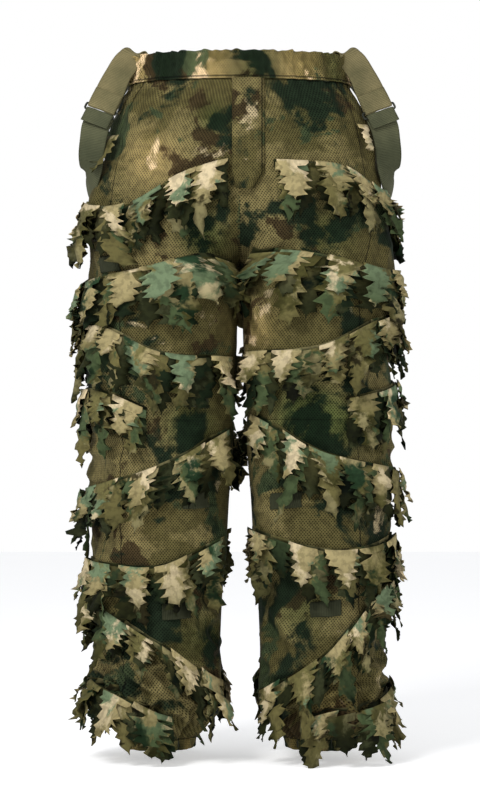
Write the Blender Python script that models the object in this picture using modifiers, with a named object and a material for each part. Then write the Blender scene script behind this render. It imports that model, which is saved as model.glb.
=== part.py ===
"""Camouflage over-trousers of a leaf ghillie suit, as an assembly of cut fabric panels, casings, elastics,
braces, webbing loops and leaf strips. Metres, +Z up, the wearer faces -Y, the wearer's left is +X.
The origin is the middle of the waist opening, where the wearer's waist holds the trousers up."""

import math

import bmesh
import bpy
import numpy as np
from mathutils import Matrix, Vector

# --- Driving dimensions -------------------------------------------------------------------------------

HEM_Z = -1.054  # the bottom of the cuffs, so the outseam is 1.054 m
WAISTBAND_HEIGHT = 0.040
CLOTH = 0.0020  # two layers of mesh cloth
LEAF_CLOTH = 0.0014
WEBBING = 0.0018
CASING_CLOTH = 0.0016
ELASTIC_THICKNESS = 0.0026
CASING_OUTER, CASING_INNER = 0.0022, -0.0037  # a casing's two walls, out from the line it is sewn along
CASING_BEND = 0.0018  # the soft fold between the walls
ELASTIC_OUT = -0.00075  # the elastic lies between the walls
WAIST_COLUMNS, CUFF_COLUMNS, STRIP_COLUMNS = 32, 24, 24  # straight steps round the waist, a cuff and a strip
SEAM_GAP = 0.0012  # between two panels that are sewn edge to edge
CENTRE_GAP = 0.0004  # from the middle plane to the centre seam's edge
SEAM_DEGREES = 0.7  # from the side seam and the centre seam to a panel's edges
RISE_START_Z = -0.240  # where the two legs begin to part
CROTCH_Z = -0.360

# The hip's half sections: height, half width, depth forward, depth back.
HIP_STATIONS = (
    (0.000, 0.161, 0.112, 0.118),
    (-0.040, 0.166, 0.115, 0.122),
    (-0.080, 0.186, 0.124, 0.138),
    (-0.150, 0.207, 0.134, 0.156),
    (-0.220, 0.221, 0.137, 0.158),
    (-0.300, 0.231, 0.134, 0.150),
    (-0.360, 0.234, 0.128, 0.140),
)
# The leg's sections: height, middle's distance from the centre plane, half width, depth forward, depth back.
LEG_STATIONS = (
    (-0.240, 0.116, 0.112, 0.126, 0.142),
    (-0.360, 0.1185, 0.1150, 0.122, 0.134),
    (-0.450, 0.1180, 0.1125, 0.119, 0.127),
    (-0.520, 0.1200, 0.1100, 0.115, 0.120),
    (-0.600, 0.1195, 0.1085, 0.112, 0.115),
    (-0.670, 0.1205, 0.1040, 0.108, 0.110),
    (-0.750, 0.1230, 0.1020, 0.104, 0.106),
    (-0.820, 0.1245, 0.0975, 0.100, 0.103),
    (-0.900, 0.1235, 0.0930, 0.096, 0.100),
    (-0.957, 0.1220, 0.0900, 0.093, 0.097),
    (-1.000, 0.1260, 0.0790, 0.084, 0.088),
    (-1.028, 0.1255, 0.0600, 0.066, 0.068),
    (-1.040, 0.1250, 0.0520, 0.056, 0.057),
    (-1.054, 0.1250, 0.0500, 0.054, 0.055),
)

# Where the cloth is cut so that a leg can move. The hip fold slants from the crotch to the outer hip.
HIP_FOLD_TOP_Z = -0.362  # at the crotch
HIP_FOLD_RISE = 0.215  # how much higher the fold is at the outer hip
HIP_FOLD_INNER = 0.090  # the fold's height at the crotch and at the outer hip
HIP_FOLD_OUTER = 0.130
KNEE_FOLD_TOP_Z = -0.500
KNEE_FOLD_BOTTOM_Z = -0.700
CUFF_TOP_Z = -1.034
CUFF_X, CUFF_HALF_WIDTH, CUFF_HALF_DEPTH = 0.125, 0.0508, 0.0550

# Leaf strips: their sewn edges' heights at eight places round the half garment: the outer side, 45 degrees,
# the front, 135 degrees, the inner side, then the same three places at the back, coming round again.
STRIP_DROP = 0.055  # how far a strip's cloth hangs
STRIP_NOTCH = 0.62  # the part of the drop that the cloth has between two teeth
STRIP_TOP_OFF = 0.0025  # a strip's distance from the panel where it is sewn, and at its free edge
STRIP_FREE_OFF = 0.0160
STRIP_LOWEST_LEG_Z = -0.985  # below this a strip hangs straight down past the gathered cuff
STRIPS = {
    "right": (
        (-0.221, -0.230, -0.224, -0.183, -0.162, -0.178, -0.205, -0.236),
        (-0.345, -0.336, -0.324, -0.302, -0.315, -0.318, -0.296, -0.322),
        (-0.410, -0.411, -0.449, -0.455, -0.455, -0.446, -0.405, -0.392),
        (-0.504, -0.509, -0.540, -0.560, -0.560, -0.545, -0.516, -0.496),
        (-0.657, -0.645, -0.618, -0.575, -0.555, -0.590, -0.634, -0.660),
        (-0.762, -0.767, -0.770, -0.737, -0.717, -0.728, -0.752, -0.770),
        (-0.818, -0.840, -0.882, -0.935, -0.950, -0.925, -0.862, -0.838),
        (-0.945, -0.958, -0.985, -1.000, -1.010, -0.995, -0.975, -0.950),
    ),
    "left": (
        (-0.206, -0.203, -0.171, -0.165, -0.165, -0.172, -0.210, -0.228),
        (-0.325, -0.325, -0.308, -0.294, -0.290, -0.300, -0.318, -0.330),
        (-0.390, -0.402, -0.440, -0.447, -0.447, -0.430, -0.412, -0.396),
        (-0.492, -0.510, -0.525, -0.545, -0.560, -0.545, -0.505, -0.488),
        (-0.627, -0.617, -0.597, -0.552, -0.537, -0.575, -0.628, -0.642),
        (-0.725, -0.741, -0.744, -0.722, -0.710, -0.732, -0.760, -0.745),
        (-0.792, -0.822, -0.905, -0.950, -0.960, -0.930, -0.868, -0.815),
        (-0.955, -0.975, -0.985, -1.000, -1.010, -0.990, -0.962, -0.940),
    ),
}
# Which part of the round each strip covers, in degrees from the outer side: forward, then back.
STRIP_REACH = {
    "right": ((171, 171), (166, 166), (146, 146), (80, 146), (146, 146), (146, 146), (146, 146), (100, 120)),
    "left": ((153, 171), (166, 166), (146, 146), (70, 146), (146, 146), (146, 146), (146, 146), (105, 120)),
}

# Webbing loops for tucking in grass and twigs: degrees from the outer side, height, tilt of the loop.
LOOP_LENGTH, LOOP_WIDTH, LOOP_LIFT, LOOP_GAP = 0.046, 0.024, 0.0030, 0.0006
LOOPS = {
    "right": ((50, -0.318, 2), (118, -0.5205, -5), (122, -0.672, 3), (108, -0.838, 1)),
    "left": ((48, -0.4655, 8), (40, -0.570, 6), (118, -0.672, -4), (88, -0.835, -6)),
}

# Braces. Each is one loop: webbing from the front tab to the ring, then elastic round to the rear tab. Its
# lines give a middle point and the direction across the webbing, for the wearer's left side.
BRACE_WIDTH = 0.046
BRACE_ELASTIC = 0.0016
RING_WIRE = 0.0042
FRONT_ANCHOR_Y, REAR_ANCHOR_Y = -0.022, 0.052  # where the tabs pass over the waistband's top edge
BRACE_WEBBING_LINE = (
    ((0.1698, -0.0240, -0.0070), (0.45, 0.80, 0.30)),
    ((0.1850, -0.0330, -0.0260), (0.78, 0.48, 0.38)),
    ((0.1970, -0.0390, -0.0520), (0.87, 0.33, 0.36)),
    ((0.2062, -0.0422, -0.0742), (0.87, 0.33, 0.36)),
)
BRACE_ELASTIC_LINE = (
    ((0.2150, -0.0446, -0.0912), (0.87, 0.33, 0.36)),
    ((0.2240, -0.0440, -0.1120), (0.93, 0.30, 0.22)),
    ((0.2320, -0.0400, -0.1400), (0.95, 0.30, 0.08)),
    ((0.2370, -0.0330, -0.1700), (0.95, 0.30, 0.00)),
    ((0.2400, -0.0200, -0.1930), (0.94, 0.33, 0.00)),
    ((0.2420, 0.0000, -0.2010), (0.92, 0.40, 0.00)),
    ((0.2420, 0.0220, -0.1940), (0.88, 0.48, 0.00)),
    ((0.2350, 0.0420, -0.1700), (0.80, 0.60, 0.00)),
    ((0.2190, 0.0560, -0.1250), (0.70, 0.70, 0.00)),
    ((0.1960, 0.0620, -0.0750), (0.40, 0.92, 0.00)),
    ((0.1720, 0.0620, -0.0280), (-0.15, 0.98, 0.00)),
    ((0.1560, 0.0590, -0.0090), (-0.50, 0.86, 0.00)),
)
RING_MIDDLE = (0.2108, -0.0436, -0.0828)

FLY_MIDDLE_X, FLY_WIDTH, FLY_TOP_Z, FLY_BOTTOM_Z = 0.0125, 0.049, -0.044, -0.205
FLY_LINE_Y, FLY_SLOPE = -0.1227, 0.1242  # the zip's straight line: y at the fly's top, and its lean forward
PLACKET_OFF_CLOTH = 0.0024  # where the placket is sewn, and where it stands over the zip
PLACKET_OFF_ZIP = 0.0072
ZIP_WIDTH = 0.022
ZIP_TOP_Z, ZIP_BOTTOM_Z = -0.048, -0.196
ZIP_SLIDER_WIDTH = 0.006

# What the moving pieces turn about.
HIP_HINGE = (0.110, 0.0027, -0.220)
KNEE_HINGE = (0.120, 0.0011, -0.600)
BRACE_HINGE = (0.1683, -0.022, 0.002)

SIDES = {"left": 1.0, "right": -1.0}
LEG_AXIS_X = 0.11  # an upright line inside a leg, which tells a piece's outer face from its inner one


# --- The garment's surface -----------------------------------------------------------------------------


def through(stations, z):
    """The stations' values at height z, on a smooth curve through them (a Catmull-Rom spline)."""
    table = np.array(stations)[::-1]
    heights, values = table[:, 0], table[:, 1:]
    slopes = np.gradient(values, heights, axis=0)
    z = min(max(z, heights[0]), heights[-1])
    i = min(max(np.searchsorted(heights, z) - 1, 0), len(heights) - 2)
    step = heights[i + 1] - heights[i]
    s = (z - heights[i]) / step
    start, end = 2 * s**3 - 3 * s**2 + 1, -2 * s**3 + 3 * s**2
    leave, arrive = s**3 - 2 * s**2 + s, s**3 - s**2
    return (
        start * values[i]
        + end * values[i + 1]
        + step * (leave * slopes[i] + arrive * slopes[i + 1])
    )


def surface(side, degrees, z):
    """The cloth's outer surface. degrees run from the outer side, positive over the front and negative over
    the back, to the inner side at 180. Above the crotch, 180 is the centre seam."""
    u = abs(degrees) / 180
    depth_at = 1 if degrees >= 0 else 2
    forward = -1.0 if degrees >= 0 else 1.0
    hip = through(HIP_STATIONS, z)
    leg = through(LEG_STATIONS, z)
    hip_x = hip[0] * math.cos(u * math.pi / 2) + CENTRE_GAP
    hip_y = hip[depth_at] * math.sin(u * math.pi / 2)
    leg_x = leg[0] + leg[1] * math.cos(u * math.pi)
    leg_y = leg[depth_at + 1] * math.sin(u * math.pi)
    t = min(max((RISE_START_Z - z) / (RISE_START_Z - CROTCH_Z), 0.0), 1.0)
    t = t * t * (3 - 2 * t)
    x = hip_x + (leg_x - hip_x) * t
    y = hip_y + (leg_y - hip_y) * t
    return Vector((SIDES[side] * x, forward * y, z))


def outward(side, degrees, z):
    """The surface's outward normal."""
    step = 2.0
    forward = 1.0 if degrees >= 0 else -1.0
    inward = min(abs(degrees), 178 - step) * forward
    along = surface(side, inward + step * forward, z) - surface(side, inward, z)
    up = surface(side, degrees, z + 0.004) - surface(side, degrees, z - 0.004)
    normal = along.cross(up) if forward > 0 else up.cross(along)
    return (normal * SIDES[side]).normalized() * -1.0


def off_surface(side, degrees, z, distance):
    return surface(side, degrees, z) + outward(side, degrees, z) * distance


def fold_top(degrees):
    """The height at which the hip panel ends and the hip fold begins."""
    return HIP_FOLD_TOP_Z + HIP_FOLD_RISE * math.cos(abs(degrees) / 180 * math.pi / 2)


def fold_bottom(degrees):
    outer = math.cos(abs(degrees) / 180 * math.pi / 2)
    return fold_top(degrees) - HIP_FOLD_INNER - (HIP_FOLD_OUTER - HIP_FOLD_INNER) * outer


def strip_height(heights, degrees):
    """The height of a strip's sewn edge, straight between its eight places."""
    places = [45.0 * i for i in range(9)]
    return float(np.interp(degrees % 360, places, [*heights, heights[0]]))


# --- Blender helpers -----------------------------------------------------------------------------------


def start_scene():
    for obj in list(bpy.data.objects):
        bpy.data.objects.remove(obj)
    collection = bpy.data.collections.new("ghillie_trousers")
    bpy.context.scene.collection.children.link(collection)
    return collection


def make_material(name, colour, roughness, metallic=0.0):
    material = bpy.data.materials.new(name)
    material.use_nodes = True
    shader = material.node_tree.nodes["Principled BSDF"]
    shader.inputs["Base Color"].default_value = (*colour, 1.0)
    shader.inputs["Roughness"].default_value = roughness
    shader.inputs["Metallic"].default_value = metallic
    material.diffuse_color = (*colour, 1.0)
    return material


def add_hinge(name, place):
    """An empty on a joint's axis, for the pieces that move about it."""
    hinge = bpy.data.objects.new(name, None)
    hinge.location = place
    PARTS.objects.link(hinge)
    return hinge


def ride_on(hinge, *pieces):
    """Hangs pieces, made where they lie, from a hinge."""
    for piece in pieces:
        piece.parent = hinge
        piece.location = -hinge.location


def link_mesh(name, bm, material):
    mesh = bpy.data.meshes.new(name)
    bm.normal_update()
    bm.to_mesh(mesh)
    bm.free()
    mesh.shade_smooth()
    mesh.set_sharp_from_angle(angle=math.radians(40))
    mesh.materials.append(material)
    obj = bpy.data.objects.new(name, mesh)
    PARTS.objects.link(obj)
    return obj


def sheet(name, columns, rows, place, thickness, material, ring=False, axis_x=None):
    """A cloth piece: a grid moved by place(u, v), with u and v from 0 to 1, and thickened. With axis_x, the
    grid is the outer face as seen from the upright line at that x. Without, it is the middle of the cloth."""
    bm = bmesh.new()
    bmesh.ops.create_grid(bm, x_segments=columns, y_segments=rows, size=0.5)
    for vertex in bm.verts:
        vertex.co = place(vertex.co.x + 0.5, vertex.co.y + 0.5)
    if ring:
        bmesh.ops.remove_doubles(bm, verts=bm.verts, dist=0.0001)
    bm.normal_update()
    if axis_x is not None:
        axis = Vector((axis_x, 0.0))
        lean = sum(f.normal.xy.dot(f.calc_center_median().xy - axis) * f.calc_area() for f in bm.faces)
        if lean < 0:
            bmesh.ops.reverse_faces(bm, faces=bm.faces)
    obj = link_mesh(name, bm, material)
    shell = obj.modifiers.new("thickness", "SOLIDIFY")
    shell.thickness = thickness
    shell.offset = 0.0 if axis_x is None else -1.0
    shell.use_even_offset = True
    return obj


def smooth_line(points, per_span):
    """Points on a Catmull-Rom curve through the given ones."""
    padded = [Vector(p) for p in (points[0], *points, points[-1])]
    made = []
    for a, b, c, d in zip(padded, padded[1:], padded[2:], padded[3:]):
        for k in range(per_span):
            s = k / per_span
            straight = 2 * b + (c - a) * s
            bend = (2 * a - 5 * b + 4 * c - d) * s**2 + (3 * b - a - 3 * c + d) * s**3
            made.append((straight + bend) / 2)
    return [*made, padded[-1]]


def webbing(name, side, line, thickness, material, per_span=2):
    """Flat webbing along a smooth line of (middle point, direction across) pairs for the wearer's left."""
    points = smooth_line([p for p, _ in line], per_span)
    acrosses = smooth_line([Vector(a).normalized() for _, a in line], per_span)

    def place(u, v):
        i = round(v * (len(points) - 1))
        spot = points[i] + acrosses[i].normalized() * (u - 0.5) * BRACE_WIDTH
        return Vector((SIDES[side] * spot.x, spot.y, spot.z))

    return sheet(name, 2, len(points) - 1, place, thickness, material)


# --- Waistband, panels and cuffs -----------------------------------------------------------------------


def waist_point(angle, out, z):
    """A point of the waist's outline, moved outwards. angle 0 is the wearer's left, 90 degrees the back."""
    hip = through(HIP_STATIONS, min(z, 0.0))
    depth = hip[1] if math.sin(angle) < 0 else hip[2]
    across, deep = math.cos(angle), math.sin(angle)
    away = Vector((across / hip[0], deep / depth, 0.0)).normalized()
    return Vector((hip[0] * across, depth * deep, z)) + away * out


def casing(name, steps, point, edge, fold, outer, inner):
    """A folded casing round an elastic: two walls, given by their middles, and a soft fold. It is open along
    the edge that is sewn on."""
    back = math.copysign(CASING_BEND, edge - fold)
    section = (
        (outer, edge),
        (outer, fold + back),
        (outer - CASING_BEND, fold),
        (inner + CASING_BEND, fold),
        (inner, fold + back),
        (inner, edge),
    )

    def place(u, v):
        out, z = section[round(v * (len(section) - 1))]
        return point(2 * math.pi * u, out, z)

    return sheet(name, steps, len(section) - 1, place, CASING_CLOTH, CAMO_MESH, ring=True)


def elastic_ring(name, steps, point, top, bottom, out):
    def place(u, v):
        return point(2 * math.pi * u, out, bottom + (top - bottom) * v)

    return sheet(name, steps, 1, place, ELASTIC_THICKNESS, ELASTIC, ring=True)


def build_waistband():
    edge = -WAISTBAND_HEIGHT + SEAM_GAP
    fold = -CASING_CLOTH / 2
    casing("waistband_casing", WAIST_COLUMNS, waist_point, edge, fold, CASING_OUTER, CASING_INNER)
    elastic_top, elastic_bottom = -0.0040, -0.0360
    elastic_ring("waist_elastic", WAIST_COLUMNS, waist_point, elastic_top, elastic_bottom, ELASTIC_OUT)


def panel(name, side, front, top, bottom, rows, columns=8):
    """One cut panel of the front or the back, between two edges given as heights round the half garment."""
    sign = 1.0 if front else -1.0

    def place(u, v):
        degrees = SEAM_DEGREES + (180 - 2 * SEAM_DEGREES) * u
        low, high = bottom(degrees) + SEAM_GAP / 2, top(degrees) - SEAM_GAP / 2
        return surface(side, sign * degrees, low + (high - low) * v)

    return sheet(name, columns, rows, place, CLOTH, CAMO_MESH, axis_x=SIDES[side] * LEG_AXIS_X)


def fold_ring(name, side, top, bottom, rows, columns=16):
    """Cloth right round a leg that crumples as the joint beside it bends."""

    def place(u, v):
        degrees = 360 * u if u <= 0.5 else 360 * u - 360
        low, high = bottom(degrees) + SEAM_GAP / 2, top(degrees) - SEAM_GAP / 2
        return surface(side, degrees, low + (high - low) * v)

    axis_x = SIDES[side] * LEG_AXIS_X
    return sheet(name, columns, rows, place, CLOTH, CAMO_MESH, ring=True, axis_x=axis_x)


def level(z):
    return lambda degrees: z


def build_side_cloth(side, hip_hinge, knee_hinge):
    for front in (True, False):
        face = "front" if front else "back"
        panel(f"{side}_{face}_hip_panel", side, front, level(-WAISTBAND_HEIGHT), fold_top, 6)
        thigh = panel(f"{side}_{face}_thigh_panel", side, front, fold_bottom, level(KNEE_FOLD_TOP_Z), 3)
        shin = panel(
            f"{side}_{face}_shin_panel", side, front, level(KNEE_FOLD_BOTTOM_Z), level(CUFF_TOP_Z), 7
        )
        ride_on(hip_hinge, thigh)
        ride_on(knee_hinge, shin)
    ride_on(hip_hinge, fold_ring(f"{side}_hip_fold", side, fold_top, fold_bottom, 3))
    knee_fold = fold_ring(
        f"{side}_knee_fold", side, level(KNEE_FOLD_TOP_Z), level(KNEE_FOLD_BOTTOM_Z), 4
    )
    ride_on(knee_hinge, knee_fold)


def build_cuff(side, knee_hinge):
    def cuff_point(angle, out, z):
        across, deep = CUFF_HALF_WIDTH + out, CUFF_HALF_DEPTH + out
        return Vector((SIDES[side] * CUFF_X + across * math.cos(angle), deep * math.sin(angle), z))

    edge = CUFF_TOP_Z - SEAM_GAP / 2
    fold = HEM_Z + CASING_CLOTH / 2
    top, bottom = edge - 0.0008, HEM_Z + 0.0040
    ride_on(
        knee_hinge,
        casing(f"{side}_cuff_casing", CUFF_COLUMNS, cuff_point, edge, fold, CASING_OUTER, CASING_INNER),
        elastic_ring(f"{side}_cuff_elastic", CUFF_COLUMNS, cuff_point, top, bottom, ELASTIC_OUT),
    )


# --- Fly -----------------------------------------------------------------------------------------------


def fly_line_y(z):
    return FLY_LINE_Y - FLY_SLOPE * (FLY_TOP_Z - z)


def build_fly(slider_track):
    def placket(u, v):
        z = FLY_BOTTOM_Z + (FLY_TOP_Z - FLY_BOTTOM_Z) * v
        x = FLY_MIDDLE_X + (u - 0.5) * FLY_WIDTH
        narrow = 0.45 * max(0.0, 0.14 - v) / 0.14  # the sewn lower end runs in towards the seam
        x += (FLY_MIDDLE_X - FLY_WIDTH * 0.2 - x) * narrow
        hip = through(HIP_STATIONS, z)
        cloth_y = -hip[1] * math.sqrt(1 - (x / hip[0]) ** 2) - PLACKET_OFF_CLOTH
        raised = min(1.0, 1.5 * math.sin(math.pi * u))
        return Vector((x, cloth_y + (fly_line_y(z) - PLACKET_OFF_ZIP - cloth_y) * raised, z))

    sheet("fly_placket", 6, 6, placket, CASING_CLOTH, CAMO_MESH)

    def tape(u, v):
        z = ZIP_BOTTOM_Z + (ZIP_TOP_Z - ZIP_BOTTOM_Z) * v
        return Vector((FLY_MIDDLE_X + (u - 0.5) * ZIP_WIDTH, fly_line_y(z), z))

    sheet("fly_zip_tape", 1, 2, tape, 0.0008, ZIP_CLOTH)
    ride_on(slider_track, build_zip_slider())


def build_zip_slider():
    """The slider's body with its pull hanging below, cut as one outline and turned to face the zip's line."""
    # Down the zip and forward of its line, in metres: the body, then the thin pull below it.
    outline = (
        (0.0000, 0.0010),
        (0.0000, 0.0034),
        (-0.0320, 0.0034),
        (-0.0320, 0.0024),
        (-0.0110, 0.0024),
        (-0.0110, 0.0010),
    )
    curve = bpy.data.curves.new("slider_outline", "CURVE")
    curve.dimensions = "2D"
    curve.fill_mode = "BOTH"
    curve.extrude = ZIP_SLIDER_WIDTH / 2
    spline = curve.splines.new("POLY")
    spline.points.add(len(outline) - 1)
    spline.use_cyclic_u = True
    for point, (down, forward) in zip(spline.points, outline):
        point.co = (down, forward, 0.0, 1.0)
    maker = bpy.data.objects.new("slider_maker", curve)
    PARTS.objects.link(maker)
    mesh = bpy.data.meshes.new_from_object(maker.evaluated_get(bpy.context.evaluated_depsgraph_get()))
    bpy.data.objects.remove(maker)
    # The outline's axes, down the zip, forward and across, stand along the leaning zip.
    along = Vector((0.0, FLY_SLOPE, 1.0)).normalized()
    forward = Vector((0.0, -1.0, FLY_SLOPE)).normalized()
    across = along.cross(forward)
    turn = Matrix((along, forward, across)).transposed().to_4x4()
    top_z = ZIP_TOP_Z - 0.004
    place = Matrix.Translation((FLY_MIDDLE_X, fly_line_y(top_z), top_z))
    bm = bmesh.new()
    bm.from_mesh(mesh)
    bmesh.ops.remove_doubles(bm, verts=bm.verts, dist=0.00002)
    bmesh.ops.transform(bm, matrix=place @ turn, verts=bm.verts)
    bmesh.ops.recalc_face_normals(bm, faces=bm.faces)
    return link_mesh("fly_zip_slider", bm, DARK_METAL)


# --- Leaf strips and webbing loops -----------------------------------------------------------------------


def build_strip(side, number, heights, reach):
    """A cut leaf strip as one cloth piece that hangs away from the leg, with a toothed free edge."""
    forward, back = reach

    def place(u, v):
        column = round(u * STRIP_COLUMNS)
        degrees = -back + (forward + back) * u
        tooth = 1.0 if column % 2 else STRIP_NOTCH
        sewn_z = strip_height(heights, degrees)
        z = sewn_z - STRIP_DROP * tooth * (1 - v)
        off = STRIP_TOP_OFF + (STRIP_FREE_OFF - STRIP_TOP_OFF) * tooth * (1 - v)
        spot = off_surface(side, degrees, max(z, STRIP_LOWEST_LEG_Z), off + LEAF_CLOTH)
        spot.z = min(z, spot.z)
        return spot

    axis_x = SIDES[side] * LEG_AXIS_X
    name = f"{side}_leaf_strip_{number}"
    return sheet(name, STRIP_COLUMNS, 1, place, LEAF_CLOTH, LEAF, axis_x=axis_x)


def build_loop(side, number, degrees, z, tilt):
    """A short webbing loop sewn down at both ends, with its middle standing off the cloth."""

    def place(u, v):
        across = (u - 0.5) * LOOP_LENGTH
        turn = math.degrees(across / through(LEG_STATIONS, z)[1])
        height = z + (v - 0.5) * LOOP_WIDTH + math.tan(math.radians(tilt)) * across
        off = LOOP_GAP + LOOP_LIFT * math.sin(math.pi * u) ** 0.6
        return off_surface(side, degrees + turn, height, off + WEBBING)

    axis_x = SIDES[side] * LEG_AXIS_X
    name = f"{side}_foliage_loop_{number}"
    return sheet(name, 6, 1, place, WEBBING, WEB_GREEN, axis_x=axis_x)


# --- Braces ----------------------------------------------------------------------------------------------


def waist_tab_line(anchor_y):
    """A tab sewn inside the waistband: up from the inner wall, over the top edge and a little way down."""
    hip = through(HIP_STATIONS, 0.0)
    depth = hip[1] if anchor_y < 0 else hip[2]
    lean = math.asin(anchor_y / depth)
    along = Vector((-hip[0] * math.sin(lean), depth * math.cos(lean), 0.0)).normalized()
    away = Vector((along.y, -along.x, 0.0))
    middle = Vector((hip[0] * math.cos(lean), anchor_y, 0.0))
    # Out from the waist's outline, and height, at five places along the tab.
    section = (
        (-0.0125, -0.0280),
        (-0.0120, -0.0060),
        (-0.0060, 0.0058),
        (0.0040, 0.0066),
        (0.0105, -0.0022),
    )
    return [(middle + away * out + Vector((0, 0, z)), along) for out, z in section]


def build_brace(side, brace_hinge):
    for end, anchor_y in (("front", FRONT_ANCHOR_Y), ("rear", REAR_ANCHOR_Y)):
        material = WEB_TAN if end == "front" else WEB_GREEN
        line = waist_tab_line(anchor_y)
        webbing(f"{side}_{end}_brace_tab", side, line, WEBBING, material, per_span=1)
    ride_on(
        brace_hinge,
        webbing(f"{side}_brace_webbing", side, BRACE_WEBBING_LINE, WEBBING, WEB_TAN),
        webbing(f"{side}_brace_elastic", side, BRACE_ELASTIC_LINE, BRACE_ELASTIC, WEB_GREEN),
        build_ring(side),
    )


def build_ring(side):
    """The rectangular ring that joins the webbing to the elastic, bent from one round wire."""
    across = Vector(BRACE_WEBBING_LINE[-1][1]).normalized()
    run = Vector(BRACE_ELASTIC_LINE[0][0]) - Vector(BRACE_WEBBING_LINE[-1][0])
    down = (run - across * run.dot(across)).normalized()
    half_long, half_short, bend = BRACE_WIDTH / 2 + 0.0042, 0.0042, 0.0022
    corners = []
    for quarter, (sx, sy) in enumerate(((1, 1), (-1, 1), (-1, -1), (1, -1))):
        for eighth in range(3):
            angle = math.pi / 4 * (2 * quarter + eighth)
            long = sx * (half_long - bend) + bend * math.cos(angle)
            short = sy * (half_short - bend) + bend * math.sin(angle)
            spot = Vector(RING_MIDDLE) + across * long + down * short
            corners.append((SIDES[side] * spot.x, spot.y, spot.z, 1.0))
    curve = bpy.data.curves.new(f"{side}_ring_path", "CURVE")
    curve.dimensions = "3D"
    curve.bevel_depth = RING_WIRE / 2
    curve.bevel_resolution = 2
    spline = curve.splines.new("POLY")
    spline.points.add(len(corners) - 1)
    for point, corner in zip(spline.points, corners):
        point.co = corner
    spline.use_cyclic_u = True
    curve.materials.append(DARK_PLASTIC)
    obj = bpy.data.objects.new(f"{side}_brace_ring", curve)
    PARTS.objects.link(obj)
    return obj


# --- Assembly --------------------------------------------------------------------------------------------

PARTS = start_scene()
CAMO_MESH = make_material("camouflage_mesh_cloth", (0.10, 0.09, 0.045), 0.9)
LEAF = make_material("leaf_cloth", (0.30, 0.25, 0.14), 0.85)
ELASTIC = make_material("knitted_elastic", (0.05, 0.055, 0.04), 0.9)
WEB_TAN = make_material("tan_webbing", (0.19, 0.16, 0.095), 0.8)
WEB_GREEN = make_material("green_webbing", (0.105, 0.115, 0.075), 0.8)
ZIP_CLOTH = make_material("zip_tape", (0.05, 0.055, 0.035), 0.85)
DARK_METAL = make_material("blackened_metal", (0.03, 0.03, 0.028), 0.45, 0.8)
DARK_PLASTIC = make_material("dark_plastic", (0.025, 0.027, 0.02), 0.5)

build_waistband()
build_fly(add_hinge("fly_zip_track", (FLY_MIDDLE_X, fly_line_y(ZIP_TOP_Z), ZIP_TOP_Z)))
for side_name, sign in SIDES.items():
    hip, knee, brace = (
        add_hinge(f"{side_name}_{joint}_hinge", (sign * place[0], place[1], place[2]))
        for joint, place in (("hip", HIP_HINGE), ("knee", KNEE_HINGE), ("brace", BRACE_HINGE))
    )
    build_side_cloth(side_name, hip, knee)
    build_cuff(side_name, knee)
    build_brace(side_name, brace)
    strips = zip(STRIPS[side_name], STRIP_REACH[side_name])
    for strip_number, (strip_line, strip_reach) in enumerate(strips, start=1):
        strip = build_strip(side_name, strip_number, strip_line, strip_reach)
        if strip_number > 1:
            ride_on(hip if strip_number < 5 else knee, strip)
    for loop_number, loop in enumerate(LOOPS[side_name], start=1):
        loop_piece = build_loop(side_name, loop_number, *loop)
        ride_on(hip if loop[1] > KNEE_HINGE[2] else knee, loop_piece)
    knee.parent = hip
    knee.location -= hip.location
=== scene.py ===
# %% [markdown]
# # The trousers of a leaf ghillie suit
# The real garment is a pair of wide over-trousers in printed mesh cloth, gathered on elastic at the waist and at
# the ankles. Bands of die-cut cloth leaves are sewn round both legs, short webbing loops hold extra twigs, and
# two braces hang at the hips. Everything here is thin cloth, so every piece is one surface worked out on a grid.
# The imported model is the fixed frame: it gives the bodies that move and the box that the cloth has to fill.

# %% Load the frame
import math
from collections import namedtuple
from functools import partial

import bmesh
import bpy
import numpy as np
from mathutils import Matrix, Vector


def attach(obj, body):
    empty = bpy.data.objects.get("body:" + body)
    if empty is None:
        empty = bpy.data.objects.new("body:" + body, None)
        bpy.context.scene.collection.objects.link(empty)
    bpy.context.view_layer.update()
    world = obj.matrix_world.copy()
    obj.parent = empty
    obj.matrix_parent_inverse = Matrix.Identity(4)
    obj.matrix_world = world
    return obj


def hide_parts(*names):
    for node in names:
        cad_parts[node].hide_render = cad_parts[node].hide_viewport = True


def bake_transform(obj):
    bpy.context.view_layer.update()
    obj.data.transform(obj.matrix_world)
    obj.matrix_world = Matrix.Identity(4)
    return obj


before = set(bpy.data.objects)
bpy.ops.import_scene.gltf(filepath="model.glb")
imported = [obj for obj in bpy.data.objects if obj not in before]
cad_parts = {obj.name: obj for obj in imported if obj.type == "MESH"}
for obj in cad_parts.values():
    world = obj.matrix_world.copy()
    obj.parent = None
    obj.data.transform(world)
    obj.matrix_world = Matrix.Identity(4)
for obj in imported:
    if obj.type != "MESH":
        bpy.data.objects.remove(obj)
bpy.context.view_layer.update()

# %% [markdown]
# ## Grids
# A cloth surface is a function of two parameters. We work the function out on a whole grid of points at once and
# join neighbours with quads. The alternative, modelling by hand, would be slower and would have no formula to
# read. One helper makes every mesh here: it takes an array of grids, so hundreds of leaves are one call.


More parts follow.
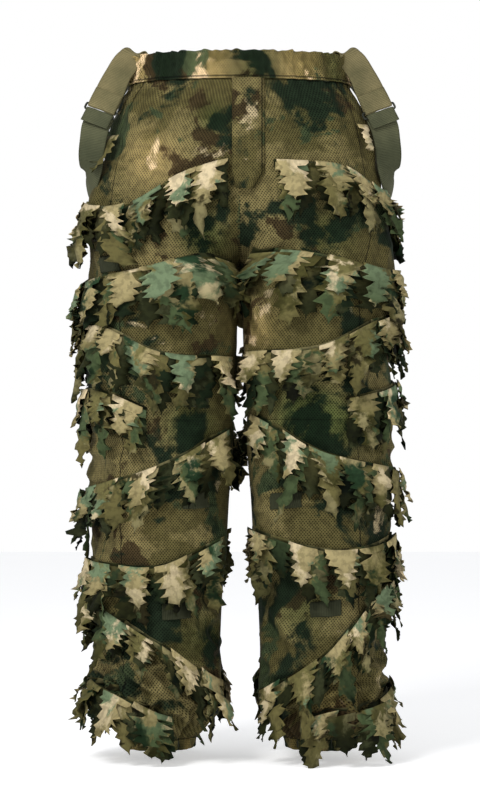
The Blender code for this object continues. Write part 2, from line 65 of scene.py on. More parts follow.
# %% A mesh from grids of points
def mesh_from_grids(name, points, uv, floats=None, weld=0.0, wall=0.0):
    """Joins neighbours on each grid with quads. points is (grids, rows, columns, 3), and uv is the same with two
    numbers. floats maps an attribute's name to one number for each point. weld merges points closer than that.
    wall is the thickness of the cloth, added inwards."""
    grids, rows, columns, _ = points.shape
    index = np.arange(grids * rows * columns).reshape(grids, rows, columns)
    quads = np.stack(
        [index[:, :-1, :-1], index[:, :-1, 1:], index[:, 1:, 1:], index[:, 1:, :-1]], axis=-1
    ).reshape(-1, 4)
    mesh = bpy.data.meshes.new(name)
    mesh.from_pydata(points.reshape(-1, 3).tolist(), [], quads.tolist())
    corner = np.zeros(len(mesh.loops), np.int32)
    mesh.loops.foreach_get("vertex_index", corner)
    layer = mesh.uv_layers.new(name="UVMap")
    layer.data.foreach_set("uv", uv.reshape(-1, 2)[corner].astype(np.float32).ravel())
    for label, values in (floats or {}).items():
        attribute = mesh.attributes.new(label, "FLOAT", "POINT")
        values = np.broadcast_to(values, points.shape[:3])
        attribute.data.foreach_set("value", values.astype(np.float32).ravel())
    if weld:
        bm = bmesh.new()
        bm.from_mesh(mesh)
        bmesh.ops.remove_doubles(bm, verts=bm.verts, dist=weld)
        bm.to_mesh(mesh)
        bm.free()
    mesh.shade_smooth()
    piece = bpy.data.objects.new(name, mesh)
    bpy.context.scene.collection.objects.link(piece)
    if wall:
        shell = piece.modifiers.new("wall", "SOLIDIFY")
        shell.thickness = wall
        shell.offset = -1.0
    return piece


def turn_outwards(piece, centre_x):
    """Flips a piece whose faces look, on the whole, at the upright line through centre_x instead of away."""
    mesh = piece.data
    normals = np.zeros(len(mesh.polygons) * 3, np.float32)
    mesh.polygons.foreach_get("normal", normals)
    centres = np.zeros(len(mesh.polygons) * 3, np.float32)
    mesh.polygons.foreach_get("center", centres)
    away = centres.reshape(-1, 3)[:, :2] - np.array([centre_x, 0.0])
    if (normals.reshape(-1, 3)[:, :2] * away).sum() < 0:
        mesh.flip_normals()
    return piece


def smoothstep(low, high, x):
    """0 below low, 1 above high, and an S-curve 3t^2 - 2t^3 between them."""
    t = np.clip((x - low) / (high - low), 0.0, 1.0)
    return t * t * (3 - 2 * t)


# %% [markdown]
# ## The trousers' shape
# Each half is a tube. At the hips its section is a quarter of an ellipse in front and one behind, from the side
# to the centre seam. At the legs it is a whole ellipse. Between the rise and the crotch one changes into the
# other. The stations below are the same driving sizes that the frame was made with.

# %% Stations and the base surface
HIP_STATIONS = np.array([  # height, half width, depth forward, depth back
    (0.000, 0.161, 0.112, 0.118),
    (-0.040, 0.166, 0.115, 0.122),
    (-0.080, 0.186, 0.124, 0.138),
    (-0.150, 0.207, 0.134, 0.156),
    (-0.220, 0.221, 0.137, 0.158),
    (-0.300, 0.231, 0.134, 0.150),
    (-0.360, 0.234, 0.128, 0.140),
])[::-1]
LEG_STATIONS = np.array([  # height, middle's distance from the centre, half width, depth forward, depth back
    (-0.240, 0.116, 0.112, 0.126, 0.142),
    (-0.360, 0.1185, 0.1150, 0.122, 0.134),
    (-0.450, 0.1180, 0.1125, 0.119, 0.127),
    (-0.520, 0.1200, 0.1100, 0.115, 0.120),
    (-0.600, 0.1195, 0.1085, 0.112, 0.115),
    (-0.670, 0.1205, 0.1040, 0.108, 0.110),
    (-0.750, 0.1230, 0.1020, 0.104, 0.106),
    (-0.820, 0.1245, 0.0975, 0.100, 0.103),
    (-0.900, 0.1235, 0.0930, 0.096, 0.100),
    (-0.957, 0.1220, 0.0900, 0.093, 0.097),
    (-1.000, 0.1260, 0.0790, 0.084, 0.088),
    (-1.028, 0.1255, 0.0600, 0.066, 0.068),
    (-1.040, 0.1250, 0.0520, 0.056, 0.057),
    (-1.054, 0.1250, 0.0500, 0.054, 0.055),
])[::-1]
SIDES = {"left": 1.0, "right": -1.0}
WAIST_Z, CROTCH_Z, RISE_Z, CUFF_Z, HEM_Z = -0.040, -0.360, -0.240, -1.034, -1.054
THIGH_SPLIT_Z = -0.552  # where the upper and the lower cloth of a leg meet
CENTRE_GAP, SEAM_LAP = 0.0002, 0.0008  # from the centre plane to each half, and how far the halves lap over it
LEG_RADIUS = 0.112  # the leg's usual radius, which turns an angle into metres of cloth
LEG_X = 0.12  # an upright line inside each leg, which tells a piece's outer face from its inner one


def through(stations, z):
    """Smooth values at heights z: a cubic through the stations whose slope at each is its neighbours' slope."""
    heights, values = stations[:, 0], stations[:, 1:]
    slopes = np.gradient(values, heights, axis=0)
    z = np.clip(z, heights[0], heights[-1])
    i = np.clip(np.searchsorted(heights, z) - 1, 0, len(heights) - 2)
    step = (heights[i + 1] - heights[i])[..., None]
    s = (z - heights[i])[..., None] / step
    near = (2 * s**3 - 3 * s**2 + 1) * values[i] + (s**3 - 2 * s**2 + s) * step * slopes[i]
    far = (3 * s**2 - 2 * s**3) * values[i + 1] + (s**3 - s**2) * step * slopes[i + 1]
    return near + far


def base_surface(sign, degrees, z):
    """A point of the smooth cloth. degrees run from the outer side, plus over the front and minus over the back,
    to the inner leg or the centre seam at 180. Hips: x = a cos(u/2), y = b sin(u/2). Legs: x = c + a cos(u),
    y = b sin(u). They are mixed with a smoothstep of the height."""
    degrees, z = np.broadcast_arrays(np.asarray(degrees, float), np.asarray(z, float))
    angle = np.radians(np.abs(degrees))
    hip, leg = through(HIP_STATIONS, z), through(LEG_STATIONS, z)
    front = degrees >= 0
    hip_x = hip[..., 0] * np.cos(angle / 2) + CENTRE_GAP
    hip_y = np.where(front, hip[..., 1], hip[..., 2]) * np.sin(angle / 2)
    leg_x = leg[..., 0] + leg[..., 1] * np.cos(angle)
    leg_y = np.where(front, leg[..., 2], leg[..., 3]) * np.sin(angle)
    share = smoothstep(-RISE_Z, -CROTCH_Z, -z)
    x = hip_x + (leg_x - hip_x) * share
    y = hip_y + (leg_y - hip_y) * share
    return np.stack([sign * x, np.where(front, -y, y), z], axis=-1)


def outward(sign, degrees, z):
    """The surface's unit normal, n = up x around, from two points 3 degrees apart and two 8 mm apart."""
    degrees, z = np.broadcast_arrays(np.asarray(degrees, float), np.asarray(z, float))
    held = np.sign(degrees + 1e-9) * np.minimum(np.abs(degrees), 176.0)
    around = base_surface(sign, held + 1.5, z) - base_surface(sign, held - 1.5, z)
    up = base_surface(sign, held, z + 0.004) - base_surface(sign, held, z - 0.004)
    normal = np.cross(up, around) * sign
    return normal / np.linalg.norm(normal, axis=-1, keepdims=True)


probe = outward(1.0, np.array([0.0, 90.0, -90.0]), -0.6)
print("outward normals at the side, front and back:", probe.round(2).tolist())

# %% [markdown]
# ## Folds
# Cloth is never smooth. Gathers run down from the waist elastic, drag lines fan out from the crotch, the knees
# crease across, and above the ankle elastic the spare cloth bulges over. Each of these is a sum of a few waves
# with fixed random directions. Taking one minus the absolute value of a wave turns soft ripples into creases.


# %% Folds as sums of waves
def waves(seed, count, shortest, longest, across, along, stretch=1.0):
    """The sum of count cosines of random direction and phase, scaled to a spread of about one. Their lengths lie
    between shortest and longest, in metres. A stretch above one lays the crests level."""
    rng = np.random.default_rng(seed)
    total = 0.0
    for _ in range(count):
        length = rng.uniform(shortest, longest)
        turn, phase = rng.uniform(0, math.pi), rng.uniform(0, 2 * math.pi)
        reach = (across * math.cos(turn) / stretch + along * math.sin(turn)) * 2 * math.pi / length
        total = total + np.cos(reach + phase)
    return total * math.sqrt(2.0 / count)


def creases(*wave_inputs, **more):
    """Sharp ridges from soft waves: one minus their absolute value, from about -1 to 1."""
    return 1.0 - np.abs(waves(*wave_inputs, **more))


def bell(z, middle, width):
    """A bell curve of the height: e to the power -((z - middle) / width)^2."""
    return np.exp(-(((z - middle) / width) ** 2))


def waist_gathers(azimuth, seed=5):
    """Pleats round the waist elastic: waves with whole numbers of pleats, so that they close on themselves."""
    rng = np.random.default_rng(seed)
    total = 0.0
    for pleats in (23, 31, 38, 47, 59, 71):
        total = total + np.cos(pleats * azimuth + rng.uniform(0, 2 * math.pi)) / math.sqrt(pleats / 23)
    return total / 3.2


def waist_azimuth(sign, degrees):
    """The angle round the waist: 0 at the wearer's left, minus a quarter turn at the front."""
    half = np.radians(np.asarray(degrees, float)) / 2
    return -half if sign > 0 else math.pi + half


# How high each kind of fold stands, in metres.
FOLDS = {
    "drift": 0.0032,
    "small": 0.0019,
    "knee": 0.0052,
    "shin": 0.0058,
    "blouse": 0.0110,
    "drag": 0.0040,
    "gathers": 0.0030,
    "ankle": 0.0058,
    "saddle": 0.008,
    "puff": 0.006,
}
KNEE_Z, SADDLE_Z, PUFF_Z = -0.635, -0.125, -0.985
VALLEY_WIDTH, VALLEY_DEPTH = 0.022, 0.012  # where the centre seam pulls the cloth in between the legs


def loose_folds(seed, across, z, place):
    """The folds that wander: broad drifts, small creases, creases across the knee and down the shin, the spare
    cloth above the ankle, and drag lines that fan out from the crotch as cos(11 u) of the angle u there."""
    drift = FOLDS["drift"] * waves(seed, 9, 0.11, 0.26, across, z)
    small = FOLDS["small"] * creases(seed + 1, 7, 0.045, 0.10, across, z)
    knee = FOLDS["knee"] * creases(seed + 2, 5, 0.045, 0.085, across, z, stretch=2.4)
    knee *= bell(z, KNEE_Z, 0.085)
    shin = FOLDS["shin"] * creases(seed + 3, 5, 0.05, 0.10, across, z, stretch=1.7) * smoothstep(0.72, 0.86, -z)
    blouse = FOLDS["blouse"] * creases(seed + 4, 6, 0.030, 0.070, across, z, stretch=2.0)
    blouse *= smoothstep(0.86, 0.95, -z) * (1 - smoothstep(0.985, 1.030, -z))
    fan = np.arctan2(np.abs(place[..., 0]) + 0.01, -(z - CROTCH_Z) + 0.03)
    reach = np.hypot(place[..., 0], z - CROTCH_Z)
    drag = FOLDS["drag"] * np.cos(fan * 11 + seed) * np.exp(-((reach - 0.08) ** 2) / 0.006)
    return drift + small + knee + shin + blouse + drag


def fold_depth(sign, degrees, z):
    """How far the cloth stands out from its smooth surface, in metres: the loose folds, which fade out at the
    seams, under the fly and at both ends, plus the gathers of the waist and the pleats of the ankle."""
    degrees, z = np.broadcast_arrays(np.asarray(degrees, float), np.asarray(z, float))
    seed = 100 if sign > 0 else 200
    place = base_surface(sign, degrees, z)
    random_part = loose_folds(seed, np.radians(degrees) * LEG_RADIUS, z, place)
    meets_itself = 1 - smoothstep(150, 177, np.abs(degrees))
    under_fly = 1 - (1 - smoothstep(0.035, 0.060, np.abs(place[..., 0]))) * smoothstep(-0.225, -0.205, z)
    random_part = random_part * meets_itself * np.where(degrees > 0, under_fly, 1.0)
    random_part *= smoothstep(0.040, 0.060, -z) * (1 - smoothstep(1.000, 1.030, -z))
    gathers = FOLDS["gathers"] * waist_gathers(waist_azimuth(sign, degrees))
    gathers = gathers * np.exp(-(-z + WAIST_Z) / 0.055) * np.where(degrees > 0, under_fly, 1.0)
    around = np.radians(degrees)
    rng = np.random.default_rng(seed + 5)
    pleats = sum(np.cos(n * around + rng.uniform(0, 6.28)) for n in (13, 17, 22, 29)) / 2
    ankle = FOLDS["ankle"] * pleats * smoothstep(0.955, 1.020, -z)
    ankle *= 1 - 0.45 * smoothstep(1.026, 1.034, -z)
    saddle = FOLDS["saddle"] * bell(z, SADDLE_Z, 0.045) * bell(degrees, 0, 38)
    puff = FOLDS["puff"] * bell(z, PUFF_Z, 0.028) * (1 + 0.6 * pleats)
    return random_part + gathers + ankle + saddle + puff


def cloth_point(sign, degrees, z, off=0.0):
    """A point of the folded cloth, moved out by off: the smooth surface plus the folds, along the normal. The
    centre seam pulls straight in, as a valley between the legs."""
    degrees, z = np.broadcast_arrays(np.asarray(degrees, float), np.asarray(z, float))
    depth = np.asarray(fold_depth(sign, degrees, z) + off)[..., None]
    points = base_surface(sign, degrees, z) + outward(sign, degrees, z) * depth
    valley = bell(points[..., 0], 0, VALLEY_WIDTH) * smoothstep(0.165, 0.235, -z)
    valley = valley * (1 - smoothstep(0.33, 0.37, -z))
    points[..., 1] += VALLEY_DEPTH * valley * np.where(degrees > 0, 1.0, -0.6)
    return points


sample = fold_depth(1.0, *np.meshgrid(np.linspace(-180, 180, 90), np.linspace(-1.03, -0.05, 120)))
print(f"folds run from {sample.min() * 1000:.1f} to {sample.max() * 1000:.1f} mm")

# %% [markdown]
# ## Finishes
# Everything on the real suit is dyed or woven, so every finish is made of noise and waves. Effects that several
# finishes share are node groups: the printed camouflage, the diagonal net of the mesh cloth, a plain weave and
# webbing ribs. They read each piece's own UV map, which is in metres along the cloth, so that a pattern follows
# the cloth when a leg bends.


# %% Building node trees
def add_node(tree, kind, inputs=None, **settings):
    """One node with its settings, and its inputs linked or set. An input is a number, a colour or a socket."""
    node = tree.nodes.new(kind)
    for key, value in settings.items():
        setattr(node, key, value)
    for key, value in (inputs or {}).items():
        if isinstance(value, bpy.types.NodeSocket):
            tree.links.new(value, node.inputs[key])
        else:
            node.inputs[key].default_value = value
    return node


def new_group(name, inputs, outputs):
    """An empty shader group with named sockets, and the nodes for its inputs and outputs."""
    tree = bpy.data.node_groups.new(name, "ShaderNodeTree")
    for label, kind, value in inputs:
        socket = tree.interface.new_socket(label, in_out="INPUT", socket_type=kind)
        if value is not None:
            socket.default_value = value
    for label, kind in outputs:
        tree.interface.new_socket(label, in_out="OUTPUT", socket_type=kind)
    return tree, tree.nodes.new("NodeGroupInput"), tree.nodes.new("NodeGroupOutput")


def math_node(tree, operation, *values):
    """One sum, product or other operation on numbers or sockets."""
    return add_node(tree, "ShaderNodeMath", dict(enumerate(values)), operation=operation).outputs[0]


def mix_colour(tree, share, first, second, blend_type="MIX"):
    """Mixes two colours. In this node the socket numbers are 0 for the share, 6 and 7 for the colours."""
    inputs = {0: share, 6: first, 7: second}
    return add_node(tree, "ShaderNodeMix", inputs, data_type="RGBA", blend_type=blend_type).outputs[2]


def times(tree, colour, red, green, blue):
    """A colour, multiplied."""
    return mix_colour(tree, 1.0, colour, (red, green, blue, 1.0), "MULTIPLY")


def mask_above(tree, value, low, high):
    """0 where the value is under low, 1 over high, smooth between them."""
    inputs = {"Value": value, "From Min": low, "From Max": high}
    return add_node(tree, "ShaderNodeMapRange", inputs, interpolation_type="SMOOTHSTEP").outputs[0]


def cloth_noise(tree, vector, scale, detail=4.0, rough=0.55, move=(0, 0, 0), distortion=0.0):
    """Fractal noise of a moved place, so that two noises of one scale don't agree."""
    moved = add_node(tree, "ShaderNodeVectorMath", {0: vector, 1: move}, operation="ADD").outputs[0]
    inputs = {"Vector": moved, "Scale": scale, "Detail": detail, "Roughness": rough, "Distortion": distortion}
    return add_node(tree, "ShaderNodeTexNoise", inputs).outputs["Fac"]


# %% [markdown]
# ## Camouflage print
# The print has soft-edged blobs in five dyes over a tan ground. Each dye is one fractal noise cut at a level, so
# its blobs have ragged edges. Laying one over another, as the printer does, gives the overlaps for free.


# %% The printed camouflage group
def build_print_group():
    """Five dyes over the ground colour. A dye lies where its own noise is above its level."""
    colours = ("Ground", "Olive", "Brown", "Green", "Dark", "Light")
    sockets = [("Vector", "NodeSocketVector", None), ("Scale", "NodeSocketFloat", 1.0)]
    sockets += [(label, "NodeSocketColor", (0.1, 0.1, 0.05, 1)) for label in colours]
    sockets += [(f"{label} level", "NodeSocketFloat", 0.5) for label in colours[1:]]
    tree, given, result = new_group("printed camouflage", sockets, [("Color", "NodeSocketColor")])
    inputs = {0: given.outputs["Vector"], "Scale": given.outputs["Scale"]}
    vector = add_node(tree, "ShaderNodeVectorMath", inputs, operation="SCALE").outputs[0]
    shades = {  # the noise's scale, where it is moved to, and how soft the blobs' edges are
        "Olive": (5.0, (3.1, 1.7, 0), 0.05),
        "Brown": (9.0, (9.3, 4.1, 0), 0.03),
        "Green": (8.0, (1.9, 8.7, 0), 0.03),
        "Dark": (8.5, (6.1, 2.3, 0), 0.06),
        "Light": (13.0, (4.7, 7.9, 0), 0.06),
    }
    colour = given.outputs["Ground"]
    for label, (scale, move, soft) in shades.items():
        noise = cloth_noise(tree, vector, scale, 7.0, 0.62, move, 0.35)
        level = given.outputs[f"{label} level"]
        high = math_node(tree, "ADD", level, soft)
        colour = mix_colour(tree, mask_above(tree, noise, level, high), colour, given.outputs[label])
    speckle = cloth_noise(tree, vector, 90.0, 2.0, 0.6, (2, 5, 0))
    darker = times(tree, colour, 0.72, 0.72, 0.72)
    colour = mix_colour(tree, mask_above(tree, speckle, 0.44, 0.62), colour, darker)
    tree.links.new(colour, result.inputs["Color"])
    return tree


def build_net_group():
    """Diagonal net: cos(u+v) + cos(u-v) is highest at the holes' middles, in rows set off by half a pitch."""
    sockets = [("Vector", "NodeSocketVector", None), ("Pitch", "NodeSocketFloat", 0.0048)]
    tree, given, result = new_group(
        "mesh net", sockets, [("Hole", "NodeSocketFloat"), ("Height", "NodeSocketFloat")]
    )
    wobble = add_node(
        tree, "ShaderNodeTexNoise", {"Vector": given.outputs["Vector"], "Scale": 60.0, "Detail": 1.0}
    ).outputs["Color"]
    shift = add_node(
        tree, "ShaderNodeVectorMath", {0: wobble, "Scale": 0.0016}, operation="SCALE"
    ).outputs[0]
    inputs = {0: given.outputs["Vector"], 1: shift}
    moved = add_node(tree, "ShaderNodeVectorMath", inputs, operation="ADD").outputs[0]
    place = add_node(tree, "ShaderNodeSeparateXYZ", {0: moved})
    turns = math_node(tree, "DIVIDE", 2 * math.pi, given.outputs["Pitch"])
    across = math_node(tree, "MULTIPLY", place.outputs[0], turns)
    along = math_node(tree, "MULTIPLY", math_node(tree, "MULTIPLY", place.outputs[1], turns), 0.86)
    rising = math_node(tree, "COSINE", math_node(tree, "ADD", across, along))
    falling = math_node(tree, "COSINE", math_node(tree, "SUBTRACT", across, along))
    total = math_node(tree, "ADD", rising, falling)
    tree.links.new(mask_above(tree, total, 0.25, 1.15), result.inputs["Hole"])
    tree.links.new(math_node(tree, "MULTIPLY", total, -0.5), result.inputs["Height"])
    return tree


def build_weave_group():
    """Plain weave: the product of two sine waves, one for each direction of the yarn."""
    sockets = [("Vector", "NodeSocketVector", None), ("Pitch", "NodeSocketFloat", 0.0012)]
    tree, given, result = new_group("plain weave", sockets, [("Height", "NodeSocketFloat")])
    place = add_node(tree, "ShaderNodeSeparateXYZ", {0: given.outputs["Vector"]})
    turns = math_node(tree, "DIVIDE", 2 * math.pi, given.outputs["Pitch"])
    warp = math_node(tree, "SINE", math_node(tree, "MULTIPLY", place.outputs[0], turns))
    weft = math_node(tree, "SINE", math_node(tree, "MULTIPLY", place.outputs[1], turns))
    tree.links.new(math_node(tree, "MULTIPLY", warp, weft), result.inputs["Height"])
    return tree


YARN_PITCH = 2 * math.pi / 4200.0  # about 1.5 mm


def build_rib_group():
    """Ribs across a tape: the absolute value of a sine along its length, with finer yarns crossing it."""
    sockets = [("Vector", "NodeSocketVector", None), ("Pitch", "NodeSocketFloat", 0.0024)]
    tree, given, result = new_group("tape ribs", sockets, [("Height", "NodeSocketFloat")])
    place = add_node(tree, "ShaderNodeSeparateXYZ", {0: given.outputs["Vector"]})
    turns = math_node(tree, "DIVIDE", math.pi, given.outputs["Pitch"])
    rib = math_node(tree, "SINE", math_node(tree, "MULTIPLY", place.outputs[1], turns))
    yarn = math_node(tree, "SINE", math_node(tree, "MULTIPLY", place.outputs[0], 2 * math.pi / YARN_PITCH))
    ribs = math_node(tree, "ABSOLUTE", rib)
    height = math_node(tree, "ADD", ribs, math_node(tree, "MULTIPLY", yarn, 0.25))
    tree.links.new(height, result.inputs["Height"])
    return tree


STITCH_ROW, STITCH_LENGTH = 0.0035, 0.003


def build_stitch_group():
    """A seam: a groove where Across is zero, and a row of stitches 3.5 mm to each side, broken every 3 mm."""
    sockets = [("Across", "NodeSocketFloat", 1.0), ("Vector", "NodeSocketVector", None)]
    tree, given, result = new_group(
        "seam stitching", sockets, [("Groove", "NodeSocketFloat"), ("Thread", "NodeSocketFloat")]
    )
    away = math_node(tree, "ABSOLUTE", given.outputs["Across"])
    tree.links.new(mask_above(tree, away, 0.0014, 0.0004), result.inputs["Groove"])
    from_row = math_node(tree, "ABSOLUTE", math_node(tree, "SUBTRACT", away, STITCH_ROW))
    row = mask_above(tree, from_row, 0.0007, 0.0003)
    place = add_node(tree, "ShaderNodeSeparateXYZ", {0: given.outputs["Vector"]})
    along = math_node(tree, "ADD", place.outputs[0], place.outputs[1])
    wave = math_node(tree, "SINE", math_node(tree, "MULTIPLY", along, 2 * math.pi / STITCH_LENGTH))
    dash = mask_above(tree, wave, -0.5, 0.1)
    tree.links.new(math_node(tree, "MULTIPLY", row, dash), result.inputs["Thread"])
    return tree


PRINT, NET, WEAVE, RIBS = build_print_group(), build_net_group(), build_weave_group(), build_rib_group()
STITCHES = build_stitch_group()
print("shared groups:", [group.name for group in (PRINT, NET, WEAVE, RIBS, STITCHES)])


# %% [markdown]
# ## The cloths
# The mesh cloth takes the print, then darkens in the net's holes, because one sees through them to the layer
# behind, and its seams and the tapes' ribs get painted shade in their grooves. The leaves are a smooth woven cloth
# with the same dyes, but they catch more light; the leaves behind are painted in shade, and every leaf is paler
# towards its sides. Roughness stays high everywhere, and the bump is a fraction of a millimetre.


# %% Cloth materials
def start_material(name, roughness):
    """A material with its Principled shader. Dry cloth and old plastic have next to no highlight."""
    material = bpy.data.materials.new(name)
    material.use_nodes = True
    shader = next(n for n in material.node_tree.nodes if n.type == "BSDF_PRINCIPLED")
    shader.inputs["Roughness"].default_value = roughness
    shader.inputs["Specular IOR Level"].default_value = 0.08
    return material, material.node_tree, shader


def uv_of(tree):
    """The piece's own UV map, in metres along the cloth."""
    return add_node(tree, "ShaderNodeTexCoord").outputs["UV"]


def use_group(tree, group, **inputs):
    """One use of a shared group. An underline in an input's name stands for a space."""
    node = add_node(tree, "ShaderNodeGroup", node_tree=group)
    for key, value in inputs.items():
        label = key.replace("_", " ")
        if isinstance(value, bpy.types.NodeSocket):
            tree.links.new(value, node.inputs[label])
        else:
            node.inputs[label].default_value = value
    return node.outputs


def bump_from(tree, shader, height, distance, strength=1.0):
    """Raises the surface by height times distance, in metres."""
    bump = add_node(tree, "ShaderNodeBump", {"Height": height, "Distance": distance, "Strength": strength})
    tree.links.new(bump.outputs[0], shader.inputs["Normal"])


def attribute_of(tree, name):
    """A number that the mesh carries at each point."""
    return add_node(tree, "ShaderNodeAttribute", attribute_name=name).outputs["Fac"]


def rgb(red, green, blue):
    return (red, green, blue, 1.0)


def make_mesh_cloth():
    """Mesh cloth. Its tint attribute shifts the print from green (0) through the plain dyes (0.5) to tan (1)."""
    material, tree, shader = start_material("camouflage mesh", 0.88)
    uv = uv_of(tree)
    tint = attribute_of(tree, "tint")
    dyes = use_group(
        tree, PRINT, Vector=uv, Scale=1.0,
        Ground=rgb(0.165, 0.136, 0.054), Olive=rgb(0.092, 0.078, 0.027), Brown=rgb(0.046, 0.032, 0.013),
        Green=rgb(0.044, 0.060, 0.026), Dark=rgb(0.012, 0.021, 0.010), Light=rgb(0.390, 0.315, 0.180),
        Olive_level=0.465, Brown_level=0.57, Green_level=0.565,
        Dark_level=math_node(tree, "MULTIPLY_ADD", tint, 0.22, 0.425),
        Light_level=math_node(tree, "MULTIPLY_ADD", tint, -0.20, 0.735),
    )["Color"]
    green = times(tree, dyes, 0.42, 0.62, 0.45)
    tan = times(tree, dyes, 2.10, 1.90, 1.90)
    colour = mix_colour(tree, mask_above(tree, tint, 0.5, 0.0), dyes, green)
    colour = mix_colour(tree, mask_above(tree, tint, 0.5, 1.0), colour, tan)
    net = use_group(tree, NET, Vector=uv, Pitch=0.0046)
    behind = times(tree, colour, 0.16, 0.16, 0.16)
    colour = mix_colour(tree, net["Hole"], colour, behind)
    stitches = use_group(tree, STITCHES, Across=attribute_of(tree, "seam"), Vector=uv)
    threads = times(tree, colour, 1.15, 1.12, 1.0)
    colour = mix_colour(tree, stitches["Thread"], colour, threads)
    # Painted shade: the print is darkened to a quarter in the seam's groove.
    groove = times(tree, colour, 0.25, 0.25, 0.25)
    colour = mix_colour(tree, stitches["Groove"], colour, groove)
    tree.links.new(colour, shader.inputs["Base Color"])
    sunk = math_node(tree, "MULTIPLY_ADD", stitches["Groove"], -2.0, net["Height"])
    bump_from(tree, shader, math_node(tree, "ADD", sunk, stitches["Thread"]), 0.0005, 0.8)
    return material


def make_leaf_cloth():
    """Leaf cloth. Its tone attribute is painted light and shade: 0 is deep shade behind, 1 is fully lit at the
    front.
    """
    material, tree, shader = start_material("printed leaf cloth", 0.8)
    uv = uv_of(tree)
    dyes = use_group(
        tree, PRINT, Vector=uv, Scale=1.1,
        Ground=rgb(0.312, 0.258, 0.124), Olive=rgb(0.125, 0.112, 0.040), Brown=rgb(0.052, 0.042, 0.017),
        Green=rgb(0.135, 0.183, 0.100), Dark=rgb(0.018, 0.042, 0.018), Light=rgb(0.545, 0.448, 0.278),
        Olive_level=0.500, Brown_level=0.590, Green_level=0.520, Dark_level=0.575, Light_level=0.530,
    )["Color"]
    tone = attribute_of(tree, "tone")
    # Painted light and shade: a low tone darkens the print to deep shade, a middle one to half shade, 1 keeps it
    # lit.
    shade = times(tree, dyes, 0.05, 0.07, 0.045)
    middle = times(tree, dyes, 0.36, 0.38, 0.28)
    colour = mix_colour(tree, mask_above(tree, tone, 0.0, 0.5), shade, middle)
    colour = mix_colour(tree, mask_above(tree, tone, 0.5, 1.0), colour, dyes)
    # Paler towards each leaf's sides, where the edge attribute is high.
    edge = attribute_of(tree, "edge")
    paler_sides = times(tree, colour, 1.25, 1.22, 1.20)
    colour = mix_colour(tree, mask_above(tree, edge, 0.6, 1.0), colour, paler_sides)
    tree.links.new(colour, shader.inputs["Base Color"])
    weave = use_group(tree, WEAVE, Vector=uv, Pitch=0.0016)["Height"]
    crumple = cloth_noise(tree, uv, 55.0, 3.0)
    height = math_node(tree, "ADD", math_node(tree, "MULTIPLY", weave, 0.12), crumple)
    bump_from(tree, shader, height, 0.0018, 0.6)
    return material


def make_tape(name, light, dark, pitch=0.0024):
    """Webbing or elastic: ribs across, dyed cloudily between two shades, with painted shade between the ribs and
    paler tops.
    """
    material, tree, shader = start_material(name, 0.82)
    uv = uv_of(tree)
    cloud = cloth_noise(tree, uv, 14.0, 5.0, 0.6)
    colour = mix_colour(tree, mask_above(tree, cloud, 0.325, 0.675), light, dark)
    ribs = use_group(tree, RIBS, Vector=uv, Pitch=pitch)["Height"]
    paler_rib_tops = times(tree, colour, 1.3, 1.28, 1.25)
    # Painted shade: darker in the grooves between the ribs.
    groove = times(tree, colour, 0.62, 0.62, 0.62)
    colour = mix_colour(tree, mask_above(tree, ribs, 0.1, 0.7), groove, colour)
    # Paler on the ribs' tops.
    colour = mix_colour(tree, mask_above(tree, ribs, 0.9, 1.3), colour, paler_rib_tops)
    tree.links.new(colour, shader.inputs["Base Color"])
    bump_from(tree, shader, ribs, 0.0005, 0.9)
    return material


def make_hard(name, colour, roughness, metallic):
    """Painted metal or moulded plastic on Object coordinates, with a fine grain, dust and a patchy gloss."""
    material, tree, shader = start_material(name, roughness)
    place = add_node(tree, "ShaderNodeTexCoord").outputs["Object"]
    grain = cloth_noise(tree, place, 900.0, 2.0)
    dust = cloth_noise(tree, place, 120.0, 5.0, 0.65)
    dusty = tuple(min(1.0, c * 2.2 + 0.02) for c in colour[:3]) + (1.0,)
    paint = mix_colour(tree, mask_above(tree, dust, 0.5, 0.72), colour, dusty)
    tree.links.new(paint, shader.inputs["Base Color"])
    patchy = math_node(tree, "MULTIPLY_ADD", dust, 0.35, roughness - 0.15)
    tree.links.new(patchy, shader.inputs["Roughness"])
    shader.inputs["Metallic"].default_value = metallic
    bump_from(tree, shader, grain, 0.0002, 0.4)
    return material


MESH_CLOTH, LEAF_CLOTH = make_mesh_cloth(), make_leaf_cloth()
TAN_TAPE = make_tape("tan webbing", rgb(0.190, 0.160, 0.078), rgb(0.110, 0.100, 0.048))
GREEN_TAPE = make_tape("green webbing", rgb(0.085, 0.088, 0.048), rgb(0.050, 0.055, 0.030))
DARK_TAPE = make_tape("dark olive webbing", rgb(0.034, 0.037, 0.020), rgb(0.020, 0.023, 0.012))
ELASTIC = make_tape("knitted elastic", rgb(0.060, 0.064, 0.045), rgb(0.040, 0.044, 0.032), pitch=0.0032)
ZIP_CLOTH = make_tape("zip tape cloth", rgb(0.055, 0.058, 0.036), rgb(0.038, 0.042, 0.028), pitch=0.0010)
BLACK_METAL = make_hard("blackened metal", rgb(0.030, 0.030, 0.028), 0.42, 0.8)
DARK_PLASTIC = make_hard("dark moulded plastic", rgb(0.022, 0.024, 0.018), 0.5, 0.0)
print("finishes:", len(bpy.data.materials))

# %% [markdown]
# ## Trouser cloth
# Each leg is two tubes of mesh cloth: one from the waist to above the knee, and one from there to the ankle. They
# could be one tube, but a piece here bends between two bodies only, so the join sits on the thigh, which is one
# body, and both tubes share its points exactly.

# %% Fixing the pieces' placement, the dye patches and the tubes' grids
SIDE_SEAM_DEGREES = 57.0


def bend_at_hip(piece):
    """Bakes the piece's placement into its points."""
    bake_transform(piece)


def bend_at_knee(piece):
    """Bakes the piece's placement into its points."""
    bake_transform(piece)


